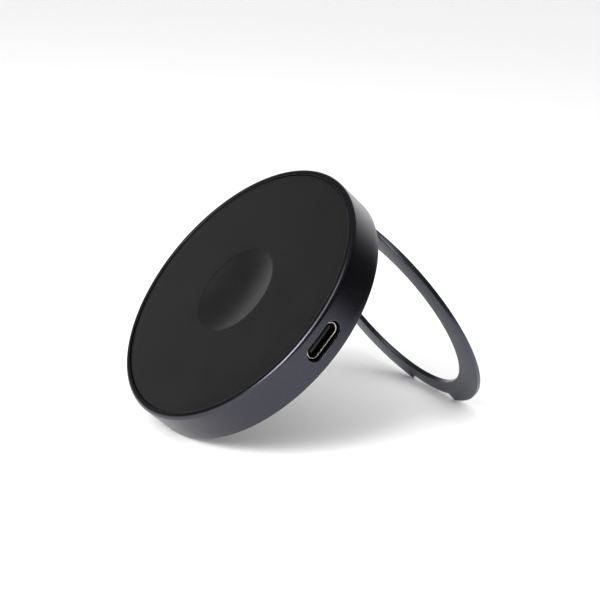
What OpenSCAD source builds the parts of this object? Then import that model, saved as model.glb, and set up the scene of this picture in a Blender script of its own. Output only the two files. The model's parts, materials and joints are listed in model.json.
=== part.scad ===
// Magnetic wireless charging puck with a fold-out ring stand.
// Every puck part is modelled flat, in the puck's own frame: z = 0 on the rear ledge, +Z to the
// front face, +Y to the hinge. The whole is then tilted until the rear edge and the two feet of
// the ring stand on the ground.

/* [Puck] */
// Outer diameter of the puck
puck_d = 66; // [64:0.5:72]
// Height of the side wall, from the rear ledge to the front rim
puck_t = 9; // [9:0.1:11]
// Radius of the front rim's outer edge
rim_round = 0.9; // [0.2:0.1:1.3]
// Radius of the rear edge
rear_round = 0.25; // [0.1:0.05:0.5]
// Width of the metal rim round the front cover
rim_w = 1.5; // [1.2:0.1:1.8]
// Thickness of the housing floor
floor_t = 1.2; // [1.2:0.1:1.4]

/* [Front cover] */
// Depth of the cover's face below the rim
cover_recess = 0.25; // [0.1:0.05:0.4]
// Thickness of the cover
cover_t = 1.2; // [1.1:0.05:1.3]
// Diameter of the concave dish
dish_d = 21.6; // [16:0.2:23]
// Depth of the dish
dish_depth = 1.8; // [0.8:0.1:1.8]

/* [Ring stand] */
// Outer diameter of the ring
ring_d = 60.4; // [59:0.1:61]
// Inner diameter of the ring
ring_in_d = 48.7; // [47.6:0.1:49.2]
// Thickness of the ring
ring_t = 1.2; // [1.2:0.1:1.5]
// Radius of the ring's edges
ring_round = 0.2; // [0.1:0.05:0.3]
// Distance between the tips of the two feet
foot_span = 17.6; // [14:0.1:22]
// Depth of the notch between the feet
notch_depth = 2; // [1:0.1:2.6]
// Angle between the ring and the puck when the stand is open
open_angle = 75; // [60:1:90]

/* [Charging port] */
// Width of the receptacle's steel shell
usb_w = 8.94; // [8.9:0.02:9]
// Height of the receptacle's steel shell
usb_h = 3.26; // [3.2:0.02:3.3]
// Clearance round the shell in the housing wall
port_gap = 0.35; // [0.15:0.05:0.35]

/* [Hidden] */
$fn = 96;
e = 0.01;

// Puck
puck_r = puck_d / 2;
rim_in_r = puck_r - rim_w;
rim_edge = min(rim_round, rim_w - 0.1);
cover_gap = 0.1;
cover_r = rim_in_r - cover_gap;
cover_top = puck_t - cover_recess;
cover_bottom = cover_top - cover_t;
adhesive_t = 0.1;
seat_z = cover_bottom - adhesive_t;
seat_w = 0.9;
cavity_r = rim_in_r - seat_w;
dish_r = dish_d / 2;
dish_wall = 1;
dish_sphere_r = (dish_r * dish_r + dish_depth * dish_depth) / (2 * dish_depth);
dish_boss_r = dish_r + 0.8;
dish_boss_bottom = cover_top - dish_depth - dish_wall;

// Hinge: its axis runs along X, just behind the rear ledge
ring_r = ring_d / 2;
ring_in_r = ring_in_d / 2;
fold_gap = 0.05;
hinge_y = ring_r - 2.2;
knuckle_r = 1.15;
hinge_z = knuckle_r - ring_t - fold_gap;
pin_r = 0.6;
knuckle_w = 10;
knuckle_bore_r = pin_r + 0.03;
washer_t = 0.25;
washer_play = 0.03;
lug_in = knuckle_w / 2 + washer_t + 2 * washer_play;
lug_w = 2.3;
lug_r = knuckle_r;
lug_x = lug_in + lug_w / 2;
bracket_t = 0.6;
pocket_w = 2 * (lug_in + lug_w) + 2.2;
pocket_low = hinge_y - 2.2;
pocket_high = hinge_y + 1.5;
pocket_depth = hinge_z + knuckle_r + 0.15 + bracket_t;
boss_roof = pocket_depth + 0.8;
hinge_screw_r = 0.6;
hinge_screw_y = hinge_y - 0.4;
hinge_head_r = 1;
hinge_thread_top = hinge_z + pin_r + 0.1;

// Ring stand, folded flat on the rear ledge
ring_z = -(ring_t / 2 + fold_gap);
flat_y = hinge_y - 0.15;
slot_y = hinge_y - 1.75;
slot_w = 2 * (lug_in + lug_w + 0.4);
notch_r = ring_r - notch_depth;
foot_half = foot_span / 2;
foot_drop = sqrt(ring_r * ring_r - foot_half * foot_half);
notch_lean = 49;
tongue_t = ring_t / 2;
tongue_w = 8.4;
tongue_low = ring_in_r + 0.6;
rivet_r = 0.45;
rivet_x = 2.7;
rivet_y = (tongue_low + slot_y) / 2 + 0.05;

// Rear pad
pad_r = ring_in_r - 0.55;
pad_t = ring_t + fold_gap;

// Electronics, from the board upwards
board_t = 0.8;
board_top = puck_t / 2 - usb_h / 2;
board_bottom = board_top - board_t;
board_r = 24;
board_screw_r = 0.7;
board_screw_at = 21;
board_screw_angles = [60, 180, 300];
boss_r = 1.7;
screw_head_r = 1.25;
screw_head_t = 0.6;
usb_len = 7.3;
usb_mouth = puck_r - 1.1;
usb_back = usb_mouth - usb_len;
usb_skin = 0.3;
usb_z = puck_t / 2;
tongue_plate_w = 6.7;
tongue_plate_t = 0.7;
contact_w = 0.26;
contact_t = 0.05;
contact_pitch = 0.5;
contact_count = 12;

// Coil, ferrite and magnets
coil_turns = 9;
coil_wire = 0.96;
coil_pitch = 1;
coil_in_r = dish_boss_r + 0.4;
ferrite_t = 0.8;
ferrite_r = coil_in_r + coil_turns * coil_pitch + 0.15;
ferrite_top = dish_boss_bottom - 0.2;
ferrite_bottom = ferrite_top - ferrite_t;
coil_z = ferrite_top + coil_wire / 2 + 0.02;
lead_wire = 0.7;
lead_r = ferrite_r + lead_wire / 2 + 0.05;
magnet_in_r = ferrite_r + 1.25;
magnet_w = 3.9;
magnet_t = 1.9;
magnet_count = 16;
magnet_open = 28;
magnet_step = (360 - magnet_open) / magnet_count;
magnet_gap = 0.7;
shield_t = 0.5;
frame_wall = 0.35;
frame_top = seat_z;
frame_roof = 0.5;
magnet_z = frame_top - frame_roof - magnet_t;

// Standing pose: the ground touches the rounded rear edge and the rounded edges of both feet
edge_centre = [-(puck_r - rear_round), rear_round];
foot_reach = hinge_y + foot_drop - ring_round;
foot_rise = ring_z + ring_t / 2 - ring_round - hinge_z;
foot_centre = [
    hinge_y - foot_reach * cos(open_angle) - foot_rise * sin(open_angle),
    hinge_z - foot_reach * sin(open_angle) + foot_rise * cos(open_angle)
];
stance = edge_centre - foot_centre;
tilt = acos((rear_round - ring_round) / norm(stance)) - atan2(-stance[0], stance[1]);
lift = rear_round - edge_centre[0] * sin(tilt) - edge_centre[1] * cos(tilt);
ring_lean = tilt + open_angle;
front_most = -(puck_r - rim_edge) * cos(tilt) - (puck_t - rim_edge) * sin(tilt) - rim_edge;
heel_rise = ring_z - ring_t / 2 + ring_round - hinge_z;
rear_most = hinge_y * cos(tilt) - hinge_z * sin(tilt)
    - foot_reach * cos(ring_lean) - heel_rise * sin(ring_lean) + ring_round;
centre_y = (front_most + rear_most) / 2;

// Puts a puck part in its place over the ground.
module in_puck() {
    translate([0, -centre_y, lift]) rotate([tilt, 0, 0]) children();
}

// Puts a part of the stand, drawn folded flat, in its open place.
module in_stand() {
    in_puck()
        translate([0, hinge_y, hinge_z])
            rotate([open_angle, 0, 0])
                translate([0, -hinge_y, -hinge_z]) children();
}

// Rounded slot that runs along X, w long in Y and h high in Z.
module slot_x(w, h, from_x, to_x) {
    hull_r = h / 2;
    translate([from_x, 0, 0])
        rotate([90, 0, 90])
            linear_extrude(to_x - from_x) {
                square([w - h, h], center = true);
                for (side = [-1, 1]) translate([side * (w - h) / 2, 0]) circle(r = hull_r);
            }
}

// Flat ring between two radii.
module washer(outer_r, inner_r, h) {
    difference() {
        cylinder(r = outer_r, h = h);
        translate([0, 0, -1]) cylinder(r = inner_r, h = h + 2);
    }
}

// Cylinder along X, centred on X = 0.
module rod_x(r, len) {
    rotate([0, 90, 0]) cylinder(r = r, h = len, center = true);
}

// Places its children at each board screw.
module at_board_screws() {
    for (a = board_screw_angles) rotate(a) translate([board_screw_at, 0, 0]) children();
}

// Places its children at each hinge screw.
module at_hinge_screws() {
    for (side = [-1, 1]) translate([side * lug_x, hinge_screw_y, 0]) children();
}

// Pan head screw with a cross recess: the shank points down from z = 0, the head is above it.
module pan_screw(shank_r, shank_len, head_r, head_t) {
    translate([0, 0, -shank_len]) cylinder(r = shank_r, h = shank_len + e);
    difference() {
        union() {
            cylinder(r = head_r, h = head_t * 0.6);
            translate([0, 0, head_t * 0.6]) cylinder(r1 = head_r, r2 = head_r * 0.8, h = head_t * 0.4);
        }
        for (turn = [0, 90])
            rotate(turn)
                translate([-head_r * 0.55, -0.11, head_t * 0.45]) cube([head_r * 1.1, 0.22, head_t]);
    }
}

// Aluminium cup: side wall, rim, floor, board bosses and the seat of the hinge.
module housing() {
    profile = [
        [0, 0], [puck_r - rear_round, 0], [puck_r, rear_round],
        [puck_r, puck_t - rim_edge], [puck_r - rim_edge, puck_t], [rim_in_r, puck_t],
        [rim_in_r, seat_z], [cavity_r, seat_z], [cavity_r, floor_t], [0, floor_t]
    ];
    color("#2b2b30") difference() {
        union() {
            rotate_extrude($fn = 180) {
                polygon(profile);
                translate([puck_r - rear_round, rear_round]) circle(r = rear_round);
                translate([puck_r - rim_edge, puck_t - rim_edge])
                    intersection() {
                        circle(r = rim_edge);
                        square(rim_edge);
                    }
            }
            at_board_screws()
                translate([0, 0, floor_t - e]) cylinder(r = boss_r, h = board_bottom - floor_t + e);
            intersection() {
                translate([-pocket_w / 2 - 1, pocket_low - 1, floor_t - e])
                    cube([pocket_w + 2, 8, boss_roof - floor_t + e]);
                cylinder(r = cavity_r + 0.2, h = puck_t / 2);
            }
        }
        translate([-pocket_w / 2, pocket_low, -1])
            cube([pocket_w, pocket_high - pocket_low, pocket_depth + 1]);
        at_hinge_screws() cylinder(r = hinge_screw_r + 0.05, h = puck_t / 2);
        at_board_screws() translate([0, 0, floor_t - 0.3]) cylinder(r = board_screw_r, h = puck_t);
        translate([0, 0, usb_z]) slot_x(usb_w + 2 * port_gap, usb_h + 2 * port_gap, cavity_r - 2, puck_r + 2);
    }
}

// Moulded front cover with the shallow spherical dish.
module front_cover() {
    edge = 0.2;
    color("#1d1c1e") difference() {
        union() {
            rotate_extrude($fn = 180) {
                polygon([
                    [0, cover_bottom], [cover_r, cover_bottom], [cover_r, cover_top - edge],
                    [cover_r - edge, cover_top], [0, cover_top]
                ]);
                translate([cover_r - edge, cover_top - edge]) circle(r = edge);
            }
            translate([0, 0, dish_boss_bottom])
                cylinder(r = dish_boss_r, h = cover_bottom - dish_boss_bottom + e);
        }
        translate([0, 0, cover_top - dish_depth + dish_sphere_r]) sphere(r = dish_sphere_r, $fn = 180);
    }
}

// Die-cut adhesive ring that holds the cover on its seat and on the carrier.
module cover_adhesive() {
    color("#c9c6bd") translate([0, 0, seat_z]) washer(cover_r, cover_r - 4.4, adhesive_t);
}

// Moulded rear pad, level with the folded ring.
module rear_pad() {
    edge = 0.3;
    color("#1a1a1b") rotate_extrude($fn = 180) {
        polygon([
            [0, -pad_t], [pad_r - edge, -pad_t], [pad_r, -pad_t + edge],
            [pad_r, -adhesive_t], [0, -adhesive_t]
        ]);
        translate([pad_r - edge, -pad_t + edge]) circle(r = edge);
    }
}

// Adhesive disc behind the rear pad.
module pad_adhesive() {
    color("#c9c6bd") translate([0, 0, -adhesive_t]) cylinder(r = pad_r - 0.5, h = adhesive_t);
}

// Moulded carrier: a channel for the magnets and a flange that is bonded to the cover.
module carrier_frame() {
    in_r = magnet_in_r - frame_wall - 0.05;
    out_r = magnet_in_r + magnet_w + 0.05;
    low = magnet_z - shield_t;
    roof_z = frame_top - frame_roof;
    color("#3a3d40") difference() {
        rotate_extrude($fn = 180)
            polygon([
                [in_r, low], [in_r + frame_wall, low], [in_r + frame_wall, roof_z], [out_r, roof_z],
                [out_r, low], [out_r + 0.5, low], [out_r + 0.5, roof_z], [cavity_r - 0.2, roof_z],
                [cavity_r - 0.2, frame_top], [in_r, frame_top]
            ]);
        translate([in_r - 2, -usb_w / 2 - 0.7, low - 1])
            cube([puck_r, usb_w + 1.4, usb_z + usb_h / 2 + 0.15 - low + 1]);
    }
}

// Flat winding: each turn of litz wire is a ring of its own.
module charging_coil() {
    color("#b4632d") for (i = [0 : coil_turns - 1])
        translate([0, 0, coil_z])
            rotate_extrude($fn = 120)
                translate([coil_in_r + (i + 0.5) * coil_pitch, 0]) circle(d = coil_wire, $fn = 24);
}

// Ends of the winding, down to the board past the ferrite's edge.
module coil_leads() {
    color("#c87b3f") for (a = [150, 210])
        rotate(a) translate([lead_r, 0, board_top]) cylinder(d = lead_wire, h = coil_z - board_top, $fn = 24);
}

// Ferrite sheet behind the winding.
module ferrite_sheet() {
    color("#4b4a48") translate([0, 0, ferrite_bottom]) cylinder(r = ferrite_r, h = ferrite_t);
}

// Arc-shaped magnets, open at the port.
module alignment_magnets() {
    color("#c4c6c8") for (i = [0 : magnet_count - 1])
        rotate(magnet_open / 2 + i * magnet_step + magnet_gap / 2)
            rotate_extrude(angle = magnet_step - magnet_gap, $fn = 180)
                translate([magnet_in_r, magnet_z]) square([magnet_w, magnet_t]);
}

// Steel back-iron below the magnets, open at the port.
module magnet_shield() {
    color("#8d9092") rotate(magnet_open / 2)
        rotate_extrude(angle = 360 - magnet_open, $fn = 180)
            translate([magnet_in_r, magnet_z - shield_t]) square([magnet_w, shield_t]);
}

// Temperature sensor bead under the ferrite.
module thermistor() {
    color("#2e2a26") translate([5, 12, ferrite_bottom - 0.9]) sphere(r = 0.85);
    color("#b8b8b8") for (dx = [-0.35, 0.35])
        translate([5 + dx, 12, board_top]) cylinder(r = 0.12, h = ferrite_bottom - 1.6 - board_top, $fn = 16);
}

// Printed circuit board with an ear for the receptacle.
module main_board() {
    color("#1f4a35") translate([0, 0, board_bottom]) linear_extrude(board_t) difference() {
        union() {
            circle(r = board_r);
            translate([0, -6]) square([usb_back + 4.5, 12]);
        }
        at_board_screws() circle(r = board_screw_r + 0.1);
    }
}

// Controller in a flat square package.
module controller_chip() {
    color("#161616") translate([-10.5, 1.5, board_top]) cube([6, 6, 0.9]);
}

// Four transistors of the coil's bridge.
module power_transistors() {
    color("#191919") for (ix = [0, 1], iy = [0, 1])
        translate([4 + ix * 5, -2 + iy * 5, board_top]) cube([3.3, 3.3, 0.85]);
}

// Shielded inductor of the supply.
module power_inductor() {
    color("#3b3b3b") translate([-6, -10, board_top]) {
        translate([-3, -3, 0]) cube([6, 6, 1.2]);
        translate([0, 0, 1.2 - e]) cylinder(r = 2.6, h = 0.25 + e);
    }
}

// Row of capacitors in series with the winding.
module resonant_capacitors() {
    color("#8a6f4a") for (i = [0 : 3])
        translate([3 + i * 3.4, -12, board_top]) cube([2.5, 3.2, 1.45]);
}

// Small resistors and capacitors round the controller.
module small_parts() {
    color("#a58b62") {
        for (i = [0 : 6]) translate([-14.4 + i * 2.1, 9.4, board_top]) cube([1, 0.5, 0.45]);
        for (i = [0 : 4]) translate([-13.6, -3 + i * 1.8, board_top]) cube([0.5, 1, 0.45]);
        for (i = [0 : 3]) translate([15.6 + i * 1.7, 6.6, board_top]) cube([0.8, 1.6, 0.7]);
    }
}

// Silicone gap pad between the controller and the ferrite.
module thermal_pad() {
    chip_top = board_top + 0.9;
    color("#9fb0c0") translate([-11, 1, chip_top]) cube([7, 7, ferrite_bottom - chip_top]);
}

// Screws that hold the board on its bosses.
module board_screws() {
    color("#9b9b9b") at_board_screws()
        translate([0, 0, board_top])
            pan_screw(board_screw_r, board_top - floor_t + 0.2, screw_head_r, screw_head_t);
}

// Deep-drawn steel shell of the receptacle.
module usb_shell() {
    color("#b9b9b7") translate([0, 0, usb_z]) difference() {
        slot_x(usb_w, usb_h, usb_back, usb_mouth);
        slot_x(usb_w - 2 * usb_skin, usb_h - 2 * usb_skin, usb_back - 1, usb_mouth + 1);
    }
}

// Insulator: a back block and the tongue that carries the contacts.
module usb_tongue() {
    color("#17171a") translate([0, 0, usb_z]) {
        slot_x(usb_w - 2 * usb_skin, usb_h - 2 * usb_skin, usb_back, usb_back + 1.6);
        translate([usb_back + 1.5, -tongue_plate_w / 2, -tongue_plate_t / 2])
            cube([usb_len - 2.2, tongue_plate_w, tongue_plate_t]);
    }
}

// Gold contacts on both faces of the tongue.
module usb_contacts() {
    first = -(contact_count - 1) / 2 * contact_pitch;
    color("#d4af52") for (i = [0 : contact_count - 1], side = [-1, 1])
        translate([
            usb_back + 2.2, first + i * contact_pitch - contact_w / 2,
            usb_z + side * (tongue_plate_t + contact_t) / 2 - contact_t / 2
        ])
            cube([usb_len - 3.4, contact_w, contact_t]);
}

// Steel bracket in the housing's pocket, with the two lugs that hold the pin.
module hinge_bracket() {
    play = 0.1;
    base_z = pocket_depth - bracket_t;
    color("#2f2f33") difference() {
        union() {
            translate([-pocket_w / 2 + play, pocket_low + play, base_z])
                cube([pocket_w - 2 * play, pocket_high - pocket_low - 2 * play, bracket_t]);
            for (side = [-1, 1]) translate([side * lug_x, 0, 0]) {
                translate([0, hinge_y, hinge_z]) rod_x(lug_r, lug_w);
                translate([-lug_w / 2, hinge_y - lug_r, hinge_z])
                    cube([lug_w, 2 * lug_r, pocket_depth - hinge_z - e]);
            }
        }
        translate([0, hinge_y, hinge_z]) rod_x(pin_r, pocket_w);
        at_hinge_screws() translate([0, 0, hinge_thread_top]) cylinder(r = hinge_screw_r, h = puck_t);
    }
}

// Steel hinge pin, pressed into both lugs.
module hinge_pin() {
    color("#a9a9a9") translate([0, hinge_y, hinge_z]) rod_x(pin_r, 2 * (lug_in + lug_w) - 0.2);
}

// Friction washers between the knuckle and the lugs.
module friction_washers() {
    color("#8c8577") for (side = [-1, 1])
        translate([side * (knuckle_w / 2 + washer_play + washer_t / 2), hinge_y, hinge_z])
            difference() {
                rod_x(knuckle_r - 0.1, washer_t);
                rod_x(pin_r + 0.01, washer_t + 1);
            }
}

// Screws from inside the housing into the lugs.
module hinge_screws() {
    color("#9b9b9b") at_hinge_screws()
        translate([0, 0, boss_roof])
            pan_screw(hinge_screw_r, boss_roof - hinge_thread_top, hinge_head_r, screw_head_t);
}

// Flat ring with rounded edges: two feet with a notch between them, a flat and a slot at the hinge.
module ring_stand() {
    b = ring_round;
    half = ring_t / 2;
    far = ring_r + 3;
    near = notch_r - 4;
    slope = 1 / tan(notch_lean);
    far_x = foot_half + (far - foot_drop) * slope;
    near_x = foot_half - (foot_drop - near) * slope;
    color("#3c3d40") translate([0, 0, ring_z]) difference() {
        rotate_extrude($fn = 180) {
            polygon([
                [ring_in_r, -half + b], [ring_in_r + b, -half], [ring_r - b, -half], [ring_r, -half + b],
                [ring_r, half - b], [ring_r - b, half], [ring_in_r + b, half], [ring_in_r, half - b]
            ]);
            for (r = [ring_in_r + b, ring_r - b], z = [b - half, half - b]) translate([r, z]) circle(r = b);
        }
        translate([0, 0, -ring_t]) linear_extrude(2 * ring_t) difference() {
            polygon([[-far_x, -far], [far_x, -far], [near_x, -near], [-near_x, -near]]);
            circle(r = notch_r);
        }
        translate([-puck_r, flat_y, -ring_t]) cube([puck_d, puck_r, 2 * ring_t]);
        translate([-slot_w / 2, slot_y, -ring_t]) cube([slot_w, puck_r, 2 * ring_t]);
        translate([-tongue_w / 2, tongue_low, 0]) cube([tongue_w, puck_r, ring_t]);
        for (side = [-1, 1])
            translate([side * rivet_x, rivet_y, -ring_t]) cylinder(r = rivet_r, h = 2 * ring_t, $fn = 32);
    }
}

// Hinge knuckle: a barrel on the pin, with a tongue let into the ring.
module stand_knuckle() {
    color("#2f2f33") difference() {
        union() {
            translate([0, hinge_y, hinge_z]) rod_x(knuckle_r, knuckle_w);
            translate([-tongue_w / 2, tongue_low, ring_z]) cube([tongue_w, hinge_y - tongue_low, tongue_t]);
            translate([-tongue_w / 2, slot_y + e, ring_z - tongue_t])
                cube([tongue_w, hinge_y - slot_y, tongue_t + e]);
        }
        translate([0, hinge_y, hinge_z]) rod_x(knuckle_bore_r, knuckle_w + 2);
        for (side = [-1, 1])
            translate([side * rivet_x, rivet_y, ring_z - ring_t])
                cylinder(r = rivet_r, h = 2 * ring_t, $fn = 32);
    }
}

// Rivets through the ring and the knuckle's tongue.
module knuckle_rivets() {
    color("#7d7d80") for (side = [-1, 1])
        translate([side * rivet_x, rivet_y, ring_z - ring_t / 2 - 0.02])
            cylinder(r = rivet_r, h = ring_t + 0.04, $fn = 32);
}

in_puck() housing();
in_puck() front_cover();
in_puck() cover_adhesive();
in_puck() rear_pad();
in_puck() pad_adhesive();
in_puck() carrier_frame();
in_puck() charging_coil();
in_puck() coil_leads();
in_puck() ferrite_sheet();
in_puck() alignment_magnets();
in_puck() magnet_shield();
in_puck() thermistor();
in_puck() main_board();
in_puck() controller_chip();
in_puck() power_transistors();
in_puck() power_inductor();
in_puck() resonant_capacitors();
in_puck() small_parts();
in_puck() thermal_pad();
in_puck() board_screws();
in_puck() usb_shell();
in_puck() usb_tongue();
in_puck() usb_contacts();
in_puck() hinge_bracket();
in_puck() hinge_pin();
in_puck() friction_washers();
in_puck() hinge_screws();
in_stand() ring_stand();
in_stand() stand_knuckle();
in_stand() knuckle_rivets();
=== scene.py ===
"""Looks of a magnetic charging puck with a fold-out ring stand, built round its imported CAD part."""

import json
import logging
import math
from dataclasses import dataclass
from enum import Enum
from typing import Callable, Iterable, Sequence

import bmesh
import bpy
from mathutils import Matrix, Vector


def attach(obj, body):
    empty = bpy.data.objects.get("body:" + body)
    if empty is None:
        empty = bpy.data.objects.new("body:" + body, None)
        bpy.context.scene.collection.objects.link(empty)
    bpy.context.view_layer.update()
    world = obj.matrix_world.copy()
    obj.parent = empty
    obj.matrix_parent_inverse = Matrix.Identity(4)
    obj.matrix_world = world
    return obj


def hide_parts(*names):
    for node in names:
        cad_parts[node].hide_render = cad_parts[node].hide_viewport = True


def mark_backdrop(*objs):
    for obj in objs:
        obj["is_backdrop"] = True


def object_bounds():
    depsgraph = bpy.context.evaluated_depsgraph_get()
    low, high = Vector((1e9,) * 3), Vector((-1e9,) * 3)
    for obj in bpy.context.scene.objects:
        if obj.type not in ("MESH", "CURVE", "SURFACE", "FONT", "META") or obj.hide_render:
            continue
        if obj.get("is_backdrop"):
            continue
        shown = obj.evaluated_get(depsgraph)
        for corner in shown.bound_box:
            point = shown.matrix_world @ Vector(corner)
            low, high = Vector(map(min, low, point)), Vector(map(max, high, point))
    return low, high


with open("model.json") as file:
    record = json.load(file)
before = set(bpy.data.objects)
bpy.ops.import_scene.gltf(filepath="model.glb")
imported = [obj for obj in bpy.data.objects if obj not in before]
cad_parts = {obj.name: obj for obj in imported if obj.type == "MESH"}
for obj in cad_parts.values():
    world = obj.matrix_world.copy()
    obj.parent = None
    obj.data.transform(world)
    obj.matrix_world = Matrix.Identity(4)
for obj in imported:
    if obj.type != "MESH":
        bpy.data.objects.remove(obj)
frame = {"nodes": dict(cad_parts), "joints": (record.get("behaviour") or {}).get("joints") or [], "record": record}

log = logging.getLogger("charging_puck")

MM = 0.001
UP = Vector((0.0, 0.0, 1.0))
HINGE_JOINT = "stand_hinge"
ROUND_STEPS = 6
SMOOTH_ANGLE = math.radians(32)

Point = tuple[float, float, float]
Outline = list[tuple[float, float]]
Level = tuple[Outline, Callable[[float, float], Point]]


# ---------------------------------------------------------------- frames


@dataclass(frozen=True)
class Space:
    """A sub-assembly's own frame in millimetres, flat on its ledge.

    Attributes:
        place: from this frame, in metres, to the row frame.
    """

    place: Matrix

    def box(self, node: str) -> tuple[Vector, Vector]:
        """Measures a CAD node.

        Args:
            node: name of the CAD node.

        Returns:
            Its lowest and highest corner in this frame, in millimetres.
        """
        into = self.place.inverted()
        points = [(into @ v.co) / MM for v in frame["nodes"][node].data.vertices]
        low = Vector([min(p[i] for p in points) for i in range(3)])
        high = Vector([max(p[i] for p in points) for i in range(3)])
        return low, high

    def reach(self, node: str) -> tuple[float, float]:
        """Measures how far a CAD node's points are from this frame's Z axis.

        Args:
            node: name of the CAD node.

        Returns:
            The nearest and farthest distance, in millimetres.
        """
        into = self.place.inverted()
        away = [(into @ v.co).xy.length / MM for v in frame["nodes"][node].data.vertices]
        return min(away), max(away)

    def islands(self, node: str) -> list[tuple[Vector, Vector]]:
        """Measures each separate solid of a CAD node.

        Args:
            node: name of the CAD node.

        Returns:
            The lowest and highest corner of each solid, in millimetres.
        """
        work = bmesh.new()
        work.from_mesh(frame["nodes"][node].data)
        bmesh.ops.remove_doubles(work, verts=work.verts, dist=0.0005 * MM)
        into = self.place.inverted()
        left, found = set(work.verts), []
        while left:
            group, edge = set(), [left.pop()]
            while edge:
                vert = edge.pop()
                group.add(vert)
                near = {link_edge.other_vert(vert) for link_edge in vert.link_edges} & left
                left -= near
                edge.extend(near)
            points = [(into @ v.co) / MM for v in group]
            found.append(
                (
                    Vector([min(p[i] for p in points) for i in range(3)]),
                    Vector([max(p[i] for p in points) for i in range(3)]),
                )
            )
        work.free()
        return found


def puck_space() -> Space:
    """Builds the puck's frame: +Z out of the charging face, z = 0 on the housing's rear ledge."""
    mounts = {m["name"]: m for m in frame["record"]["mounts"]}
    normal = Vector(mounts["charging_face"]["axis"]).normalized()
    across = Vector((1.0, 0.0, 0.0))
    turn = Matrix((across, normal.cross(across), normal)).transposed().to_4x4()
    on_axis = Space(Matrix.Translation(Vector(mounts["rear_face"]["pos_m"])) @ turn)
    ledge = on_axis.box("housing")[0].z * MM
    return Space(on_axis.place @ Matrix.Translation(UP * ledge))


def stand_space(puck: Space) -> Space:
    """Builds the ring stand's frame, in which the stand lies folded on the rear ledge.

    Args:
        puck: the puck's frame.

    Returns:
        The puck's frame turned about the hinge, from the folded to the open position.
    """
    joint = next(j for j in frame["joints"] if j["name"] == HINGE_JOINT)
    pivot = Vector(joint["pos_m"])
    turn = Matrix.Rotation(math.radians(-joint["range_deg"][0]), 4, Vector(joint["axis"]))
    return Space(Matrix.Translation(pivot) @ turn @ Matrix.Translation(-pivot) @ puck.place)


# ---------------------------------------------------------------- finishes


class Grain(Enum):
    """How the surface of a finish varies over its smallest detail."""

    SOFT = "soft"
    BLASTED = "blasted"
    BRUSHED = "brushed"
    GRANULAR = "granular"
    STRANDED = "stranded"


def linear(colour: str) -> tuple[float, float, float, float]:
    """Turns an sRGB hex colour to linear.

    Args:
        colour: six hex digits after a #.

    Returns:
        Linear red, green, blue and an alpha of 1.
    """
    parts = [int(colour[i : i + 2], 16) / 255 for i in (1, 3, 5)]
    red, green, blue = (c / 12.92 if c <= 0.04045 else ((c + 0.055) / 1.055) ** 2.4 for c in parts)
    return red, green, blue, 1.0


def add_node(
    tree: bpy.types.NodeTree,
    kind: str,
    values: dict[str | int, object] | None = None,
    links: dict[str | int, bpy.types.NodeSocket] | None = None,
    **settings: object,
) -> bpy.types.Node:
    """Adds a node with its settings, its unlinked values and its links.

    Args:
        tree: the tree that takes the node.
        kind: the node's type.
        values: a value for each named or numbered input.
        links: the socket that feeds each named or numbered input.
        **settings: the node's own properties.

    Returns:
        The new node.
    """
    node = tree.nodes.new(kind)
    for name, value in settings.items():
        setattr(node, name, value)
    for key, value in (values or {}).items():
        node.inputs[key].default_value = value
    for key, socket in (links or {}).items():
        tree.links.new(socket, node.inputs[key])
    return node


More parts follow.
